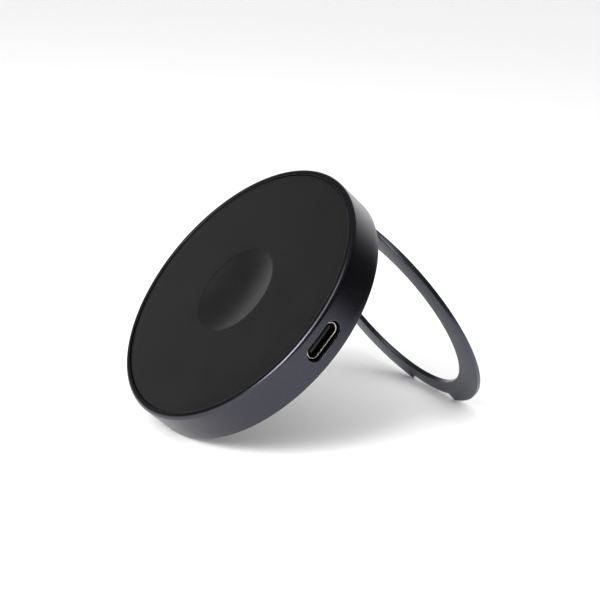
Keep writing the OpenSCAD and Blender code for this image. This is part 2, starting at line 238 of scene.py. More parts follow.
@dataclass(frozen=True)
class Finish:
    """A real surface: its colour, how it was made, and what that gives the eye.

    Attributes:
        name: common name of the material and its making.
        slot: the record's material slot; not used.
        colour: sRGB hex of the body colour.
        fleck: sRGB hex that the finest detail drifts to.
        metal: 1 for a bare or dyed metal surface.
        rough: lowest and highest roughness over the surface.
        grain: kind of the finest detail.
        grain_mm: size of the finest detail.
        depth_mm: height of the finest detail.
        cloud_mm: size of the slow drift in gloss, such as handling or process marks.
        fleck_share: how much of the fleck colour shows.
        sheen: strength of the soft velvet edge of a rubbery coat.
        specular: strength of the reflection of a surface that isn't metal.
        stretch: how much longer a brushed line is than it is wide.
    """

    name: str
    slot: str
    colour: str
    fleck: str
    metal: float = 0.0
    rough: tuple[float, float] = (0.4, 0.5)
    grain: Grain = Grain.SOFT
    grain_mm: float = 0.2
    depth_mm: float = 0.004
    cloud_mm: float = 9.0
    fleck_share: float = 0.5
    sheen: float = 0.0
    specular: float = 0.5
    stretch: float = 24.0

    def build(self) -> bpy.types.Material:
        """Builds the material once, and gives it back on later calls."""
        known = bpy.data.materials.get(self.name)
        if known:
            return known
        material = bpy.data.materials.new(self.name)
        material.use_nodes = True
        tree = material.node_tree
        tree.nodes.clear()
        place = add_node(tree, "ShaderNodeTexCoord").outputs["Object"]
        fine = self._fine(tree, place)
        slow = add_node(
            tree,
            "ShaderNodeTexNoise",
            {"Scale": 1 / (self.cloud_mm * MM), "Detail": 3.0, "Roughness": 0.55},
            {"Vector": place},
        ).outputs["Fac"]
        share = add_node(
            tree,
            "ShaderNodeMapRange",
            {"From Min": 0.35, "From Max": 0.75, "To Min": 0.0, "To Max": self.fleck_share},
            {"Value": fine},
        ).outputs["Result"]
        tint = add_node(
            tree,
            "ShaderNodeMix",
            {"A": linear(self.colour), "B": linear(self.fleck)},
            {"Factor": share},
            data_type="RGBA",
        )
        gloss = add_node(
            tree,
            "ShaderNodeMapRange",
            {"From Min": 0.3, "From Max": 0.7, "To Min": self.rough[0], "To Max": self.rough[1]},
            {"Value": slow},
        ).outputs["Result"]
        relief = add_node(
            tree,
            "ShaderNodeBump",
            {"Strength": 1.0, "Distance": self.depth_mm * MM},
            {"Height": fine},
        ).outputs["Normal"]
        shader = add_node(
            tree,
            "ShaderNodeBsdfPrincipled",
            {
                "Metallic": self.metal,
                "Sheen Weight": self.sheen,
                "Sheen Roughness": 0.4,
                "Specular IOR Level": self.specular,
            },
            {"Roughness": gloss, "Normal": relief},
        )
        tree.links.new(tint.outputs["Result"], shader.inputs["Base Color"])
        add_node(tree, "ShaderNodeOutputMaterial", None, {"Surface": shader.outputs["BSDF"]})
        return material

    def _fine(self, tree: bpy.types.NodeTree, place: bpy.types.NodeSocket) -> bpy.types.NodeSocket:
        """Adds the finest detail.

        Args:
            tree: the material's tree.
            place: the Object coordinates.

        Returns:
            A socket from 0 to 1.
        """
        per_metre = 1 / (self.grain_mm * MM)
        if self.grain in (Grain.GRANULAR, Grain.BLASTED):
            cells = add_node(
                tree, "ShaderNodeTexVoronoi", {"Scale": per_metre}, {"Vector": place}, feature="SMOOTH_F1"
            )
            return cells.outputs["Distance"]
        stretched = {
            Grain.BRUSHED: (1 / self.stretch, 1.0, 1.0),
            Grain.STRANDED: (1.0, 1.0, 1 / self.stretch),
        }.get(self.grain, (1.0, 1.0, 1.0))
        mapped = add_node(tree, "ShaderNodeMapping", {"Scale": stretched}, {"Vector": place})
        noise = add_node(
            tree,
            "ShaderNodeTexNoise",
            {"Scale": per_metre, "Detail": 4.0, "Roughness": 0.6},
            {"Vector": mapped.outputs["Vector"]},
        )
        return noise.outputs["Fac"]


# Anodised aluminium, bead blasted: satin black, with a fine grit that breaks up its highlights.
# The grit is drawn at 0.16 mm, coarser than the real 0.05 mm, so that it shows.
HOUSING_ALUMINIUM = Finish(
    "Anodised_aluminium_blasted_black", "housing_aluminium", "#3a3a41", "#43434a", 1.0,
    (0.25, 0.32), Grain.BLASTED, 0.16, 0.0016, 14.0, 0.6,
)
# The ring is the same dark graphite alloy as the housing; its colour is set a little lighter and greyer than the
# housing's as painted light, standing in for the brighter light that falls on the ring.
RING_ALUMINIUM_PAINTED_LIGHTER = Finish(
    "Anodised_aluminium_blasted_graphite", "ring_aluminium", "#44474f", "#4e5159", 1.0,
    (0.30, 0.37), Grain.BLASTED, 0.16, 0.0016, 14.0, 0.6,
)
# Soft-touch coat on moulded plastic: matte, near black, with a fine speckle and a faint velvet edge.
COVER_COATING = Finish(
    "Soft_touch_coat_on_abs", "cover_coating", "#0b0a0b", "#151415", 0.0,
    (0.34, 0.42), Grain.SOFT, 0.28, 0.003, 12.0, 0.7, specular=0.3,
)
# Moulded silicone rubber: matte and slightly grained.
PAD_RUBBER = Finish(
    "Silicone_rubber_moulded", "rear_pad_rubber", "#1c1c1d", "#252526", 0.0,
    (0.58, 0.68), Grain.SOFT, 0.35, 0.012, 8.0, 0.6, 0.08,
)
# Die-cut transfer film: milky, with the slight ripple of its paper liner.
ADHESIVE_FILM = Finish(
    "Acrylic_film_die_cut", "adhesive_film", "#cbc7ba", "#bdb8a9", 0.0,
    (0.35, 0.5), Grain.SOFT, 0.8, 0.01, 6.0, 0.5,
)
# Moulded glass-filled nylon: dull grey with pale fibres.
CARRIER_NYLON = Finish(
    "Nylon_glass_filled_moulded", "carrier_plastic", "#45484b", "#5a5e61", 0.0,
    (0.45, 0.6), Grain.SOFT, 0.25, 0.01, 5.0, 0.6,
)
# Enamelled copper litz: warm, glossy enamel over fine strands.
LITZ_COPPER = Finish(
    "Copper_litz_enamelled", "enamelled_copper", "#b9642e", "#8c4219", 1.0,
    (0.25, 0.38), Grain.SOFT, 0.12, 0.02, 4.0, 0.8,
)
# Tinned ends of the winding: brighter than the enamel, slightly uneven from the dip.
TINNED_COPPER = Finish(
    "Copper_wire_tinned", "tinned_copper", "#c68a5a", "#b4b0a8", 1.0,
    (0.25, 0.4), Grain.SOFT, 0.5, 0.01, 2.0, 0.9,
)
# Sintered ferrite: dark, dry and granular.
FERRITE_SHEET = Finish(
    "Ferrite_sintered", "ferrite", "#4a4846", "#5c5a57", 0.0,
    (0.6, 0.75), Grain.GRANULAR, 0.25, 0.012, 6.0, 0.7,
)
# Bright nickel on sintered magnets: mirror-like with a slight orange peel.
NICKEL_PLATE = Finish(
    "Nickel_plate_on_magnet", "nickel_plate", "#c5c6c8", "#b7b6b3", 1.0,
    (0.14, 0.24), Grain.SOFT, 0.6, 0.004, 5.0, 0.5,
)
# Rolled steel sheet: straight fine lines from the rolls.
ROLLED_STEEL = Finish(
    "Steel_sheet_rolled", "shield_steel", "#969a9d", "#84888b", 1.0,
    (0.28, 0.4), Grain.BRUSHED, 0.12, 0.003, 7.0, 0.7,
)
# Solder mask on glass-fibre laminate: green, semi-gloss, with the weave just showing.
BOARD_LAMINATE = Finish(
    "Glass_fibre_laminate_masked", "board_laminate", "#1e4d36", "#286144", 0.0,
    (0.28, 0.38), Grain.SOFT, 0.5, 0.006, 5.0, 0.7,
)
# Moulded epoxy of the packages: black with a sandy surface.
CHIP_EPOXY = Finish(
    "Epoxy_package_moulded", "chip_resin", "#1a1a1a", "#2a2a2a", 0.0,
    (0.5, 0.62), Grain.GRANULAR, 0.12, 0.005, 2.0, 0.6,
)
# Pressed iron powder core with a dip coat.
POWDER_CORE = Finish(
    "Iron_powder_core_coated", "ferrite_core", "#3c3c3c", "#4c4a48", 0.0,
    (0.42, 0.55), Grain.GRANULAR, 0.15, 0.006, 2.0, 0.6,
)
# Fired ceramic of the capacitors: tan and slightly porous.
FIRED_CERAMIC = Finish(
    "Ceramic_fired", "capacitor_ceramic", "#8a6f4a", "#a08560", 0.0,
    (0.4, 0.52), Grain.GRANULAR, 0.1, 0.004, 1.5, 0.6,
)
# Dipped epoxy bead: glossy brown-black.
DIPPED_EPOXY = Finish(
    "Epoxy_bead_dipped", "bead_resin", "#39302a", "#4a3f37", 0.0,
    (0.18, 0.28), Grain.SOFT, 0.4, 0.004, 1.0, 0.6,
)
# Soft silicone gap pad: pale blue, filled with fine grains.
GAP_SILICONE = Finish(
    "Silicone_gap_pad_filled", "gap_filler", "#9dafc0", "#b3c1ce", 0.0,
    (0.6, 0.75), Grain.GRANULAR, 0.15, 0.01, 3.0, 0.6,
)
# Zinc-plated screw steel: bright with a faint cloud.
SCREW_ZINC = Finish(
    "Steel_zinc_plated", "screw_steel", "#a9abae", "#92959a", 1.0,
    (0.24, 0.36), Grain.SOFT, 0.2, 0.003, 1.2, 0.6,
)
# Deep-drawn stainless shell of the port: warm grey, satin along the draw.
DRAWN_STAINLESS = Finish(
    "Stainless_steel_deep_drawn", "receptacle_steel", "#b9b6b2", "#a5a29e", 1.0,
    (0.26, 0.36), Grain.BRUSHED, 0.06, 0.002, 2.5, 0.6,
)
# Moulded liquid-crystal polymer in the port: black and dull.
PORT_POLYMER = Finish(
    "Polymer_moulded_black", "receptacle_plastic", "#141416", "#1e1e20", 0.0,
    (0.45, 0.58), Grain.SOFT, 0.1, 0.004, 2.0, 0.6,
)
# Gold flash on the contacts.
CONTACT_GOLD = Finish(
    "Gold_flash_on_contacts", "contact_gold", "#e0b257", "#cf9d45", 1.0,
    (0.18, 0.28), Grain.SOFT, 0.15, 0.001, 1.0, 0.5,
)
# Black oxide on the hinge's steel: dark, slightly oily, a bit lighter where it was machined.
OXIDE_STEEL = Finish(
    "Steel_black_oxide", "hinge_steel", "#35353a", "#46464b", 1.0,
    (0.32, 0.46), Grain.BLASTED, 0.2, 0.003, 3.0, 0.7,
)
# Ground pin steel: bright, with fine lines.
GROUND_STEEL = Finish(
    "Steel_pin_ground", "pin_steel", "#a8a8aa", "#929294", 1.0,
    (0.2, 0.3), Grain.STRANDED, 0.08, 0.002, 1.5, 0.6,
)
# Sintered bronze washers: brown, dry, full of fine pores.
SINTERED_BRONZE = Finish(
    "Bronze_sintered", "washer_bronze", "#8f8066", "#6d604b", 1.0,
    (0.42, 0.55), Grain.GRANULAR, 0.12, 0.006, 1.0, 0.8,
)
# Black nickel on the rivets: dark and smooth, with a ring left by the setting punch.
RIVET_NICKEL = Finish(
    "Steel_black_nickel_plated", "rivet_steel", "#7c7c7f", "#68686b", 1.0,
    (0.26, 0.36), Grain.SOFT, 0.2, 0.002, 1.0, 0.6,
)


# ---------------------------------------------------------------- mesh tools


class MeshMaker:
    """Collects points and faces of one closed mesh, in a space's own millimetres."""

    def __init__(self) -> None:
        """Starts an empty mesh."""
        self.points: list[Point] = []
        self.faces: list[tuple[int, ...]] = []

    def ring(self, points: Iterable[Point]) -> list[int]:
        """Adds points and gives back their numbers."""
        start = len(self.points)
        self.points.extend(points)
        return list(range(start, len(self.points)))

    def bridge(self, first: Sequence[int], second: Sequence[int], closed: bool = True) -> None:
        """Joins two rows of the same length with quads.

        Args:
            first: point numbers of one row.
            second: point numbers of the other.
            closed: whether the rows run back to their start.
        """
        count = len(first)
        for i in range(count if closed else count - 1):
            j = (i + 1) % count
            self.faces.append((first[i], first[j], second[j], second[i]))

    def fan(self, ring: Sequence[int], pole: int) -> None:
        """Closes a ring of points to a pole with triangles."""
        for i in range(len(ring)):
            self.faces.append((ring[i], ring[(i + 1) % len(ring)], pole))

    def finish(self, name: str, space: Space) -> bpy.types.Object:
        """Makes the object, with its place in its mesh and its normals outwards.

        Args:
            name: name of the piece.
            space: the frame that the points are in.

        Returns:
            The piece's object, at the origin.
        """
        mesh = bpy.data.meshes.new(name)
        mesh.from_pydata([tuple(space.place @ (Vector(p) * MM)) for p in self.points], [], self.faces)
        work = bmesh.new()
        work.from_mesh(mesh)
        bmesh.ops.remove_doubles(work, verts=work.verts, dist=0.0005 * MM)
        bmesh.ops.recalc_face_normals(work, faces=work.faces)
        work.to_mesh(mesh)
        work.free()
        return link(name, mesh)


def link(name: str, mesh: bpy.types.Mesh) -> bpy.types.Object:
    """Links a mesh to the scene as a new object, smooth but for its sharp edges."""
    mesh.name = name
    piece = bpy.data.objects.new(name, mesh)
    bpy.context.scene.collection.objects.link(piece)
    soften(mesh)
    return piece


def soften(mesh: bpy.types.Mesh, angle: float = SMOOTH_ANGLE) -> None:
    """Shades a mesh smooth and marks its edges sharp above an angle.

    Args:
        mesh: the mesh to shade.
        angle: largest angle that stays smooth, in radians.
    """
    mesh.shade_smooth()
    mesh.set_sharp_from_angle(angle=angle)


def arc(
    centre: tuple[float, float], radius: float, start: float, end: float, steps: int = ROUND_STEPS
) -> Outline:
    """Draws an arc.

    Args:
        centre: its centre.
        radius: its radius.
        start: angle of its first point, in degrees.
        end: angle of its last point, in degrees.
        steps: number of pieces.

    Returns:
        Its points, both ends included.
    """
    turns = (math.radians(start + (end - start) * i / steps) for i in range(steps + 1))
    return [(centre[0] + radius * math.cos(a), centre[1] + radius * math.sin(a)) for a in turns]


def slot_outline(width: float, height: float, steps: int = 16) -> Outline:
    """Draws a slot with round ends.

    Args:
        width: its whole width.
        height: its height, and the diameter of its ends.
        steps: pieces in each round end.

    Returns:
        Its points, counter-clockwise.
    """
    side, radius = (width - height) / 2, height / 2
    return arc((side, 0), radius, -90, 90, steps) + arc((-side, 0), radius, 90, 270, steps)


def rounded_outline(width: float, height: float, radius: float, steps: int = ROUND_STEPS) -> Outline:
    """Draws a rectangle with round corners, counter-clockwise round the origin."""
    x, y = width / 2 - radius, height / 2 - radius
    corners = (((x, -y), -90), ((x, y), 0), ((-x, y), 90), ((-x, -y), 180))
    return [p for centre, start in corners for p in arc(centre, radius, start, start + 90, steps)]


def turned(name: str, profile: Outline, space: Space, columns: int) -> bpy.types.Object:
    """Turns a profile round the space's Z axis.

    Args:
        name: name of the piece.
        profile: points as (radius, height). A point on the axis is a pole; otherwise the profile is a loop.
        space: the frame of the piece.
        columns: number of faces round the axis.

    Returns:
        The closed piece.
    """
    maker = MeshMaker()
    turns = [2 * math.pi * i / columns for i in range(columns)]
    rows: list[list[int]] = []
    for radius, height in profile:
        if radius < 1e-9:
            rows.append(maker.ring([(0.0, 0.0, height)]))
        else:
            rows.append(maker.ring([(radius * math.cos(a), radius * math.sin(a), height) for a in turns]))
    pairs = list(zip(rows, rows[1:]))
    if len(rows[0]) > 1:
        pairs.append((rows[-1], rows[0]))
    for first, second in pairs:
        if len(first) == 1:
            maker.fan(second, first[0])
        elif len(second) == 1:
            maker.fan(first, second[0])
        else:
            maker.bridge(first, second)
    return maker.finish(name, space)


def lofted(name: str, levels: Sequence[Level], space: Space) -> bpy.types.Object:
    """Joins outlines of the same count into a solid with flat ends.

    Args:
        name: name of the piece.
        levels: each outline, with the function that puts its points in place.
        space: the frame of the piece.

    Returns:
        The closed piece.
    """
    maker = MeshMaker()
    rows = [maker.ring([place(u, v) for u, v in outline]) for outline, place in levels]
    for first, second in zip(rows, rows[1:]):
        maker.bridge(first, second)
    maker.faces.append(tuple(reversed(rows[0])))
    maker.faces.append(tuple(rows[-1]))
    return maker.finish(name, space)


def at_height(z: float, x: float = 0.0, y: float = 0.0) -> Callable[[float, float], Point]:
    """Gives the function that lays an outline flat at a height, round (x, y)."""
    return lambda u, v: (x + u, y + v, z)


def along_x(x: float, z: float = 0.0, y: float = 0.0) -> Callable[[float, float], Point]:
    """Gives the function that stands an outline up across X, round (y, z)."""
    return lambda u, v: (x, y + u, z + v)


def combine(
    piece: bpy.types.Object, cutters: Sequence[bpy.types.Object], operation: str = "DIFFERENCE"
) -> None:
    """Cuts or joins solids and removes them.

    Args:
        piece: the object that is changed.
        cutters: the solids.
        operation: DIFFERENCE or UNION.
    """
    for cutter in cutters:
        change = piece.modifiers.new("combine", "BOOLEAN")
        change.operation, change.object, change.solver = operation, cutter, "EXACT"
        bake(piece)
        bpy.data.objects.remove(cutter)
    seal(piece.data)
    soften(piece.data)


def seal(mesh: bpy.types.Mesh) -> None:
    """Closes the hair-thin gaps that a cut leaves where points lie on one line."""
    work = bmesh.new()
    work.from_mesh(mesh)
    bmesh.ops.holes_fill(work, edges=[edge for edge in work.edges if edge.is_boundary], sides=4)
    work.to_mesh(mesh)
    work.free()


def bake(piece: bpy.types.Object) -> None:
    """Turns an object's live modifiers into its mesh."""
    bpy.context.view_layer.update()
    graph = bpy.context.evaluated_depsgraph_get()
    mesh = bpy.data.meshes.new_from_object(piece.evaluated_get(graph))
    piece.modifiers.clear()
    piece.data = mesh
    mesh.name = piece.name


def break_edges(piece: bpy.types.Object, width: float, angle: float = 40.0, segments: int = 2) -> None:
    """Rounds the sharp edges of a piece, as tumbling or a mould does.

    Args:
        piece: the object that is changed.
        width: width of the round, in millimetres.
        angle: edges turned less than this, in degrees, stay as they are.
        segments: faces in each round.
    """
    change = piece.modifiers.new("round", "BEVEL")
    change.width, change.segments = width * MM, segments
    change.limit_method, change.angle_limit = "ANGLE", math.radians(angle)
    change.use_clamp_overlap = True
    change.harden_normals = False
    bake(piece)
    soften(piece.data)


def cleaned_copy(node: str, name: str) -> bpy.types.Object:
    """Copies a CAD node, with its points merged and its flat faces whole.

    Args:
        node: name of the CAD node.
        name: name of the new piece.

    Returns:
        The new piece.
    """
    work = bmesh.new()
    work.from_mesh(frame["nodes"][node].data)
    bmesh.ops.remove_doubles(work, verts=work.verts, dist=0.001 * MM)
    bmesh.ops.dissolve_limit(
        work, angle_limit=math.radians(0.4), verts=work.verts, edges=work.edges, use_dissolve_boundaries=False
    )
    mesh = bpy.data.meshes.new(name)
    work.to_mesh(mesh)
    work.free()
    mesh.materials.clear()
    return link(name, mesh)


def dress(piece: bpy.types.Object, body: str, finish: Finish, nodes: Sequence[str]) -> None:
    """Gives a piece its finish, its body and the CAD nodes that it stands for.

    Args:
        piece: the finished piece.
        body: the CAD body that it rides on.
        finish: its surface.
        nodes: the CAD nodes that it replaces.
    """
    piece.data.materials.clear()
    piece.data.materials.append(finish.build())
    for face in piece.data.polygons:
        face.material_index = 0
    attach(piece, body)
    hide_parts(*nodes)
    log.info("%s: %d faces, %s, on %s", piece.name, len(piece.data.polygons), finish.name, body)


# ---------------------------------------------------------------- puck


@dataclass
class Housing:
    """The aluminium cup: side wall, rim, floor, port opening and hinge pocket.

    Attributes:
        space: the puck's frame.
        rim_round: radius of the front rim's outer edge.
        rim_steps: faces across that radius.
        rear_round: radius of the rear edge.
        rim_w: width of the rim round the cover.
        rim_break: rounding of the rim's inner edge.
        seat_w: width of the cover's seat.
        floor_t: thickness of the floor.
        port_gap: clearance round the port's shell.
        lip: rounding of the port's opening.
        columns: faces round the wall.
        row_mm: height of the wall's rows.
        patch_columns: columns on each side of the port that its opening takes up.
        patch_rows: rows above and below the port's middle that its opening takes up.
        pocket_play: clearance round the hinge bracket.
        pocket_round: rounding of the hinge pocket's corners.
        pocket_break: chamfer round the hinge pocket.
        boss_over: thickness of the boss above the pocket.
    """

    space: Space
    rim_round: float = 0.9
    rim_steps: int = 14
    rear_round: float = 0.25
    rim_w: float = 1.5
    rim_break: float = 0.1
    seat_w: float = 0.9
    floor_t: float = 1.2
    port_gap: float = 0.35
    lip: float = 0.16
    columns: int = 720
    row_mm: float = 0.4
    patch_columns: int = 21
    patch_rows: int = 7
    pocket_play: float = 0.1
    pocket_round: float = 0.5
    pocket_break: float = 0.15
    boss_over: float = 0.8

    def build(self) -> bpy.types.Object:
        """Builds and dresses the housing."""
        _, high = self.space.box("housing")
        shell_low, shell_high = self.space.box("usb_shell")
        seat = self.space.box("cover_adhesive")[0].z
        self.radius, self.height = high.x, high.z
        self.port_z = (shell_low.z + shell_high.z) / 2
        self.port_w = shell_high.y - shell_low.y + 2 * self.port_gap
        self.port_h = shell_high.z - shell_low.z + 2 * self.port_gap
        rim_in = self.radius - self.rim_w
        cavity = rim_in - self.seat_w
        wall_rows = [self.port_z + i * self.row_mm for i in range(-self.patch_rows, self.patch_rows + 1)]
        rounding, rear, chip = self.rim_round, self.rear_round, self.rim_break
        outer = (
            [(0.0, 0.0), (self.radius / 2, 0.0)]
            + arc((self.radius - rear, rear), rear, -90, 0)
            + [(self.radius, z) for z in wall_rows]
            + arc((self.radius - rounding, self.height - rounding), rounding, 0, 90, self.rim_steps)
        )
        mouth = arc((rim_in + chip, self.height - chip), chip, 90, 180, 3) + [(rim_in, seat), (cavity, seat)]
        inner = (
            mouth
            + [(cavity, z) for z in reversed(wall_rows)]
            + [(cavity, self.floor_t), (0.0, self.floor_t)]
        )
        maker = MeshMaker()
        rows = self._rows(maker, outer + inner)
        first = len(outer) - (self.rim_steps + 1) - len(wall_rows)
        last = len(outer) + len(mouth)
        walls = {
            (first, self.radius): [rows[first + i] for i in range(len(wall_rows))],
            (last, cavity): [rows[last + len(wall_rows) - 1 - i] for i in range(len(wall_rows))],
        }
        self._skin(maker, rows, (first, last), len(wall_rows))
        mouths = [self._opening(maker, wall, radius) for (_, radius), wall in walls.items()]
        maker.bridge(mouths[0], mouths[1])
        piece = maker.finish("Housing", self.space)
        self._hinge_seat(piece, cavity)
        dress(piece, "puck", HOUSING_ALUMINIUM, ["housing"])
        return piece

    def _rows(self, maker: MeshMaker, profile: Outline) -> list[list[int]]:
        """Adds a row of points round the axis for each point of the profile."""
        turns = [2 * math.pi * i / self.columns for i in range(self.columns)]
        return [
            maker.ring([(r * math.cos(a), r * math.sin(a), z) for a in turns] if r > 0 else [(0.0, 0.0, z)])
            for r, z in profile
        ]

    def _skin(self, maker: MeshMaker, rows: list[list[int]], walls: tuple[int, int], wall_rows: int) -> None:
        """Joins the rows, and leaves the port's patch open in both walls.

        Args:
            maker: the mesh.
            rows: the rows of points.
            walls: number of the first row of the outer and of the inner wall.
            wall_rows: how many rows each wall has.
        """
        for number, (first, second) in enumerate(zip(rows, rows[1:])):
            if len(first) == 1:
                maker.fan(second, first[0])
                continue
            if len(second) == 1:
                maker.fan(first, second[0])
                continue
            in_wall = any(start <= number < start + wall_rows - 1 for start in walls)
            for i in range(self.columns):
                j = (i + 1) % self.columns
                near = i < self.patch_columns or i >= self.columns - self.patch_columns
                if not (in_wall and near):
                    maker.faces.append((first[i], first[j], second[j], second[i]))

    def _opening(self, maker: MeshMaker, wall: list[list[int]], radius: float) -> list[int]:
        """Fills a wall's patch up to the port's opening.

        Args:
            maker: the mesh.
            wall: the wall's rows, from the lowest.
            radius: the wall's radius.

        Returns:
            The point numbers round the opening, below its lip.
        """
        span = self.patch_columns
        across = [i % self.columns for i in range(-span, span + 1)]
        edge = [wall[0][i] for i in across]
        edge += [row[across[-1]] for row in wall[1:]]
        edge += [wall[-1][i] for i in reversed(across[:-1])]
        edge += [row[across[0]] for row in reversed(wall[1:-1])]
        rays = [(maker.points[n][1], maker.points[n][2] - self.port_z) for n in edge]
        sign = 1 if radius == self.radius else -1

        def contour(grow: float, depth: float) -> list[Point]:
            """The opening's outline, grown by an amount, at a depth below the wall."""
            found = [self._on_slot(y, z, grow) for y, z in rays]
            return [(math.sqrt(radius * radius - y * y) - sign * depth, y, self.port_z + z) for y, z in found]

        mouth = contour(self.lip, 0.0)
        before = edge
        for share in (0.3, 0.6, 0.85):
            blend = []
            for (y0, z0), (_, y1, z1) in zip(rays, mouth):
                y, z = y0 + (y1 - y0) * share, z0 + self.port_z + (z1 - z0 - self.port_z) * share
                blend.append((math.sqrt(radius * radius - y * y), y, z))
            row = maker.ring(blend)
            maker.bridge(before, row)
            before = row
        for step in range(5):
            turn = math.radians(90 * step / 4)
            row = maker.ring(contour(self.lip * (1 - math.sin(turn)), self.lip * (1 - math.cos(turn))))
            maker.bridge(before, row)
            before = row
        return before

    def _on_slot(self, y: float, z: float, grow: float) -> tuple[float, float]:
        """Finds where a ray from the port's middle meets its outline.

        Args:
            y: the ray's direction along the wall.
            z: the ray's direction up the wall.
            grow: how much bigger the outline is on every side.

        Returns:
            The point on the outline.
        """
        half_h = self.port_h / 2 + grow
        side = (self.port_w - self.port_h) / 2
        if abs(z) > 1e-9 and abs(y) * half_h / abs(z) <= side:
            return y * half_h / abs(z), math.copysign(half_h, z)
        length = math.hypot(y, z)
        dy, dz = abs(y) / length, z / length
        along = side * dy + math.sqrt(half_h * half_h - (side * dz) ** 2)
        return math.copysign(along * dy, y), along * dz

    def _hinge_seat(self, piece: bpy.types.Object, cavity: float) -> None:
        """Adds the boss over the hinge and cuts the pocket and its screw holes.

        Args:
            piece: the housing.
            cavity: radius of the space inside.
        """
        low, high = self.space.box("hinge_bracket")
        play = self.pocket_play
        width, depth = high.x - low.x + 2 * play, high.y - low.y + 2 * play
        middle = (low.y + high.y) / 2
        roof = high.z + self.boss_over
        boss_deep = math.sqrt(cavity**2 - (width / 2 + 1) ** 2) - (low.y - play - 1) + 0.2
        boss_y = low.y - play - 1 + boss_deep / 2
        outline = rounded_outline(width + 2, boss_deep, 0.3)
        boss = lofted(
            "boss", [(outline, at_height(z, 0, boss_y)) for z in (self.floor_t - 0.2, roof)], self.space
        )
        combine(piece, [boss], "UNION")
        corner, chip = self.pocket_round, self.pocket_break
        wide = rounded_outline(width + 2 * chip, depth + 2 * chip, corner + chip)
        plain = rounded_outline(width, depth, corner)
        levels = [
            (wide, at_height(-1, 0, middle)),
            (wide, at_height(0, 0, middle)),
            (plain, at_height(chip, 0, middle)),
            (plain, at_height(high.z, 0, middle)),
        ]
        combine(piece, [lofted("pocket", levels, self.space)])
        screw_low, screw_high = self.space.box("hinge_screws")
        head = (screw_high.y - screw_low.y) / 2
        for side in (-1, 1):
            hole = rounded_outline(1.3, 1.3, 0.649)
            x, y = side * (screw_high.x - head), screw_low.y + head
            cut = lofted("hole", [(hole, at_height(z, x, y)) for z in (high.z - 0.3, roof + 0.3)], self.space)
            combine(piece, [cut])


@dataclass
class FrontCover:
    """The coated front cover with its concave dish.

    Attributes:
        space: the puck's frame.
        edge: radius of the cover's outer edge.
        dish_d: diameter of the dish.
        dish_depth: depth of the dish.
        dish_edge: rounding where the dish meets the face.
        wall: thickness of the wall behind the dish; not used.
        columns: faces round the axis.
    """

    space: Space
    edge: float = 0.2
    dish_d: float = 21.6
    dish_depth: float = 1.8
    dish_edge: float = 0.35
    wall: float = 1.0
    columns: int = 480

    def build(self) -> bpy.types.Object:
        """Builds and dresses the cover."""
        low, high = self.space.box("front_cover")
        seat = self.space.box("cover_adhesive")[1].z
        radius, top, edge = high.x, high.z, self.edge
        dish_r = self.dish_d / 2
        boss_r = dish_r + 0.8
        profile = (
            self._dish(dish_r, top)
            + [(dish_r + (radius - dish_r) * k / 8, top) for k in range(1, 8)]
            + arc((radius - edge, top - edge), edge, 90, 0)
            + [(radius, seat), (boss_r, seat), (boss_r, low.z), (0.0, low.z)]
        )
        piece = turned("Front_cover", profile, self.space, self.columns)
        dress(piece, "puck", COVER_COATING, ["front_cover"])
        return piece

    def _dish(self, dish_r: float, top: float) -> Outline:
        """Draws the dish from its middle out, with a rounded shoulder.

        Args:
            dish_r: radius of the dish.
            top: height of the cover's face.

        Returns:
            Points from the pole to the face.
        """
        ball = (dish_r**2 + self.dish_depth**2) / (2 * self.dish_depth)
        middle = top - self.dish_depth + ball
        slope = math.asin(dish_r / ball)
        bend = self.dish_edge / math.tan(slope / 2)
        shoulder_r = min(bend, 2.0)
        centre_r, centre_z = self._shoulder(ball, middle, top, shoulder_r)
        lean = math.atan2(centre_r, middle - centre_z)
        steps = 40
        turns = [lean * i / steps for i in range(steps)]
        points = [(ball * math.sin(turn), middle - ball * math.cos(turn)) for turn in turns]
        start = 90 + math.degrees(lean)
        return points + arc((centre_r, centre_z), shoulder_r, start, 90, 6)

    @staticmethod
    def _shoulder(ball: float, middle: float, top: float, radius: float) -> tuple[float, float]:
        """Places the rounded shoulder so that it touches both the dish and the face."""
        z = top - radius
        reach = ball + radius
        return math.sqrt(reach**2 - (middle - z) ** 2), z


@dataclass
class RearPad:
    """The rubber pad on the housing's floor, level with the folded ring.

    Attributes:
        space: the puck's frame.
        edge: radius of its outer edge.
        columns: faces round the axis.
    """

    space: Space
    edge: float = 0.3
    columns: int = 360

    def build(self) -> bpy.types.Object:
        """Builds and dresses the pad."""
        low, high = self.space.box("rear_pad")
        radius, edge = high.x, self.edge
        profile = (
            [(0.0, high.z), (radius, high.z)]
            + arc((radius - edge, low.z + edge), edge, 0, -90)
            + [((radius - edge) * k / 6, low.z) for k in range(5, 0, -1)]
            + [(0.0, low.z)]
        )
        piece = turned("Rear_pad", profile, self.space, self.columns)
        dress(piece, "puck", PAD_RUBBER, ["rear_pad"])
        return piece


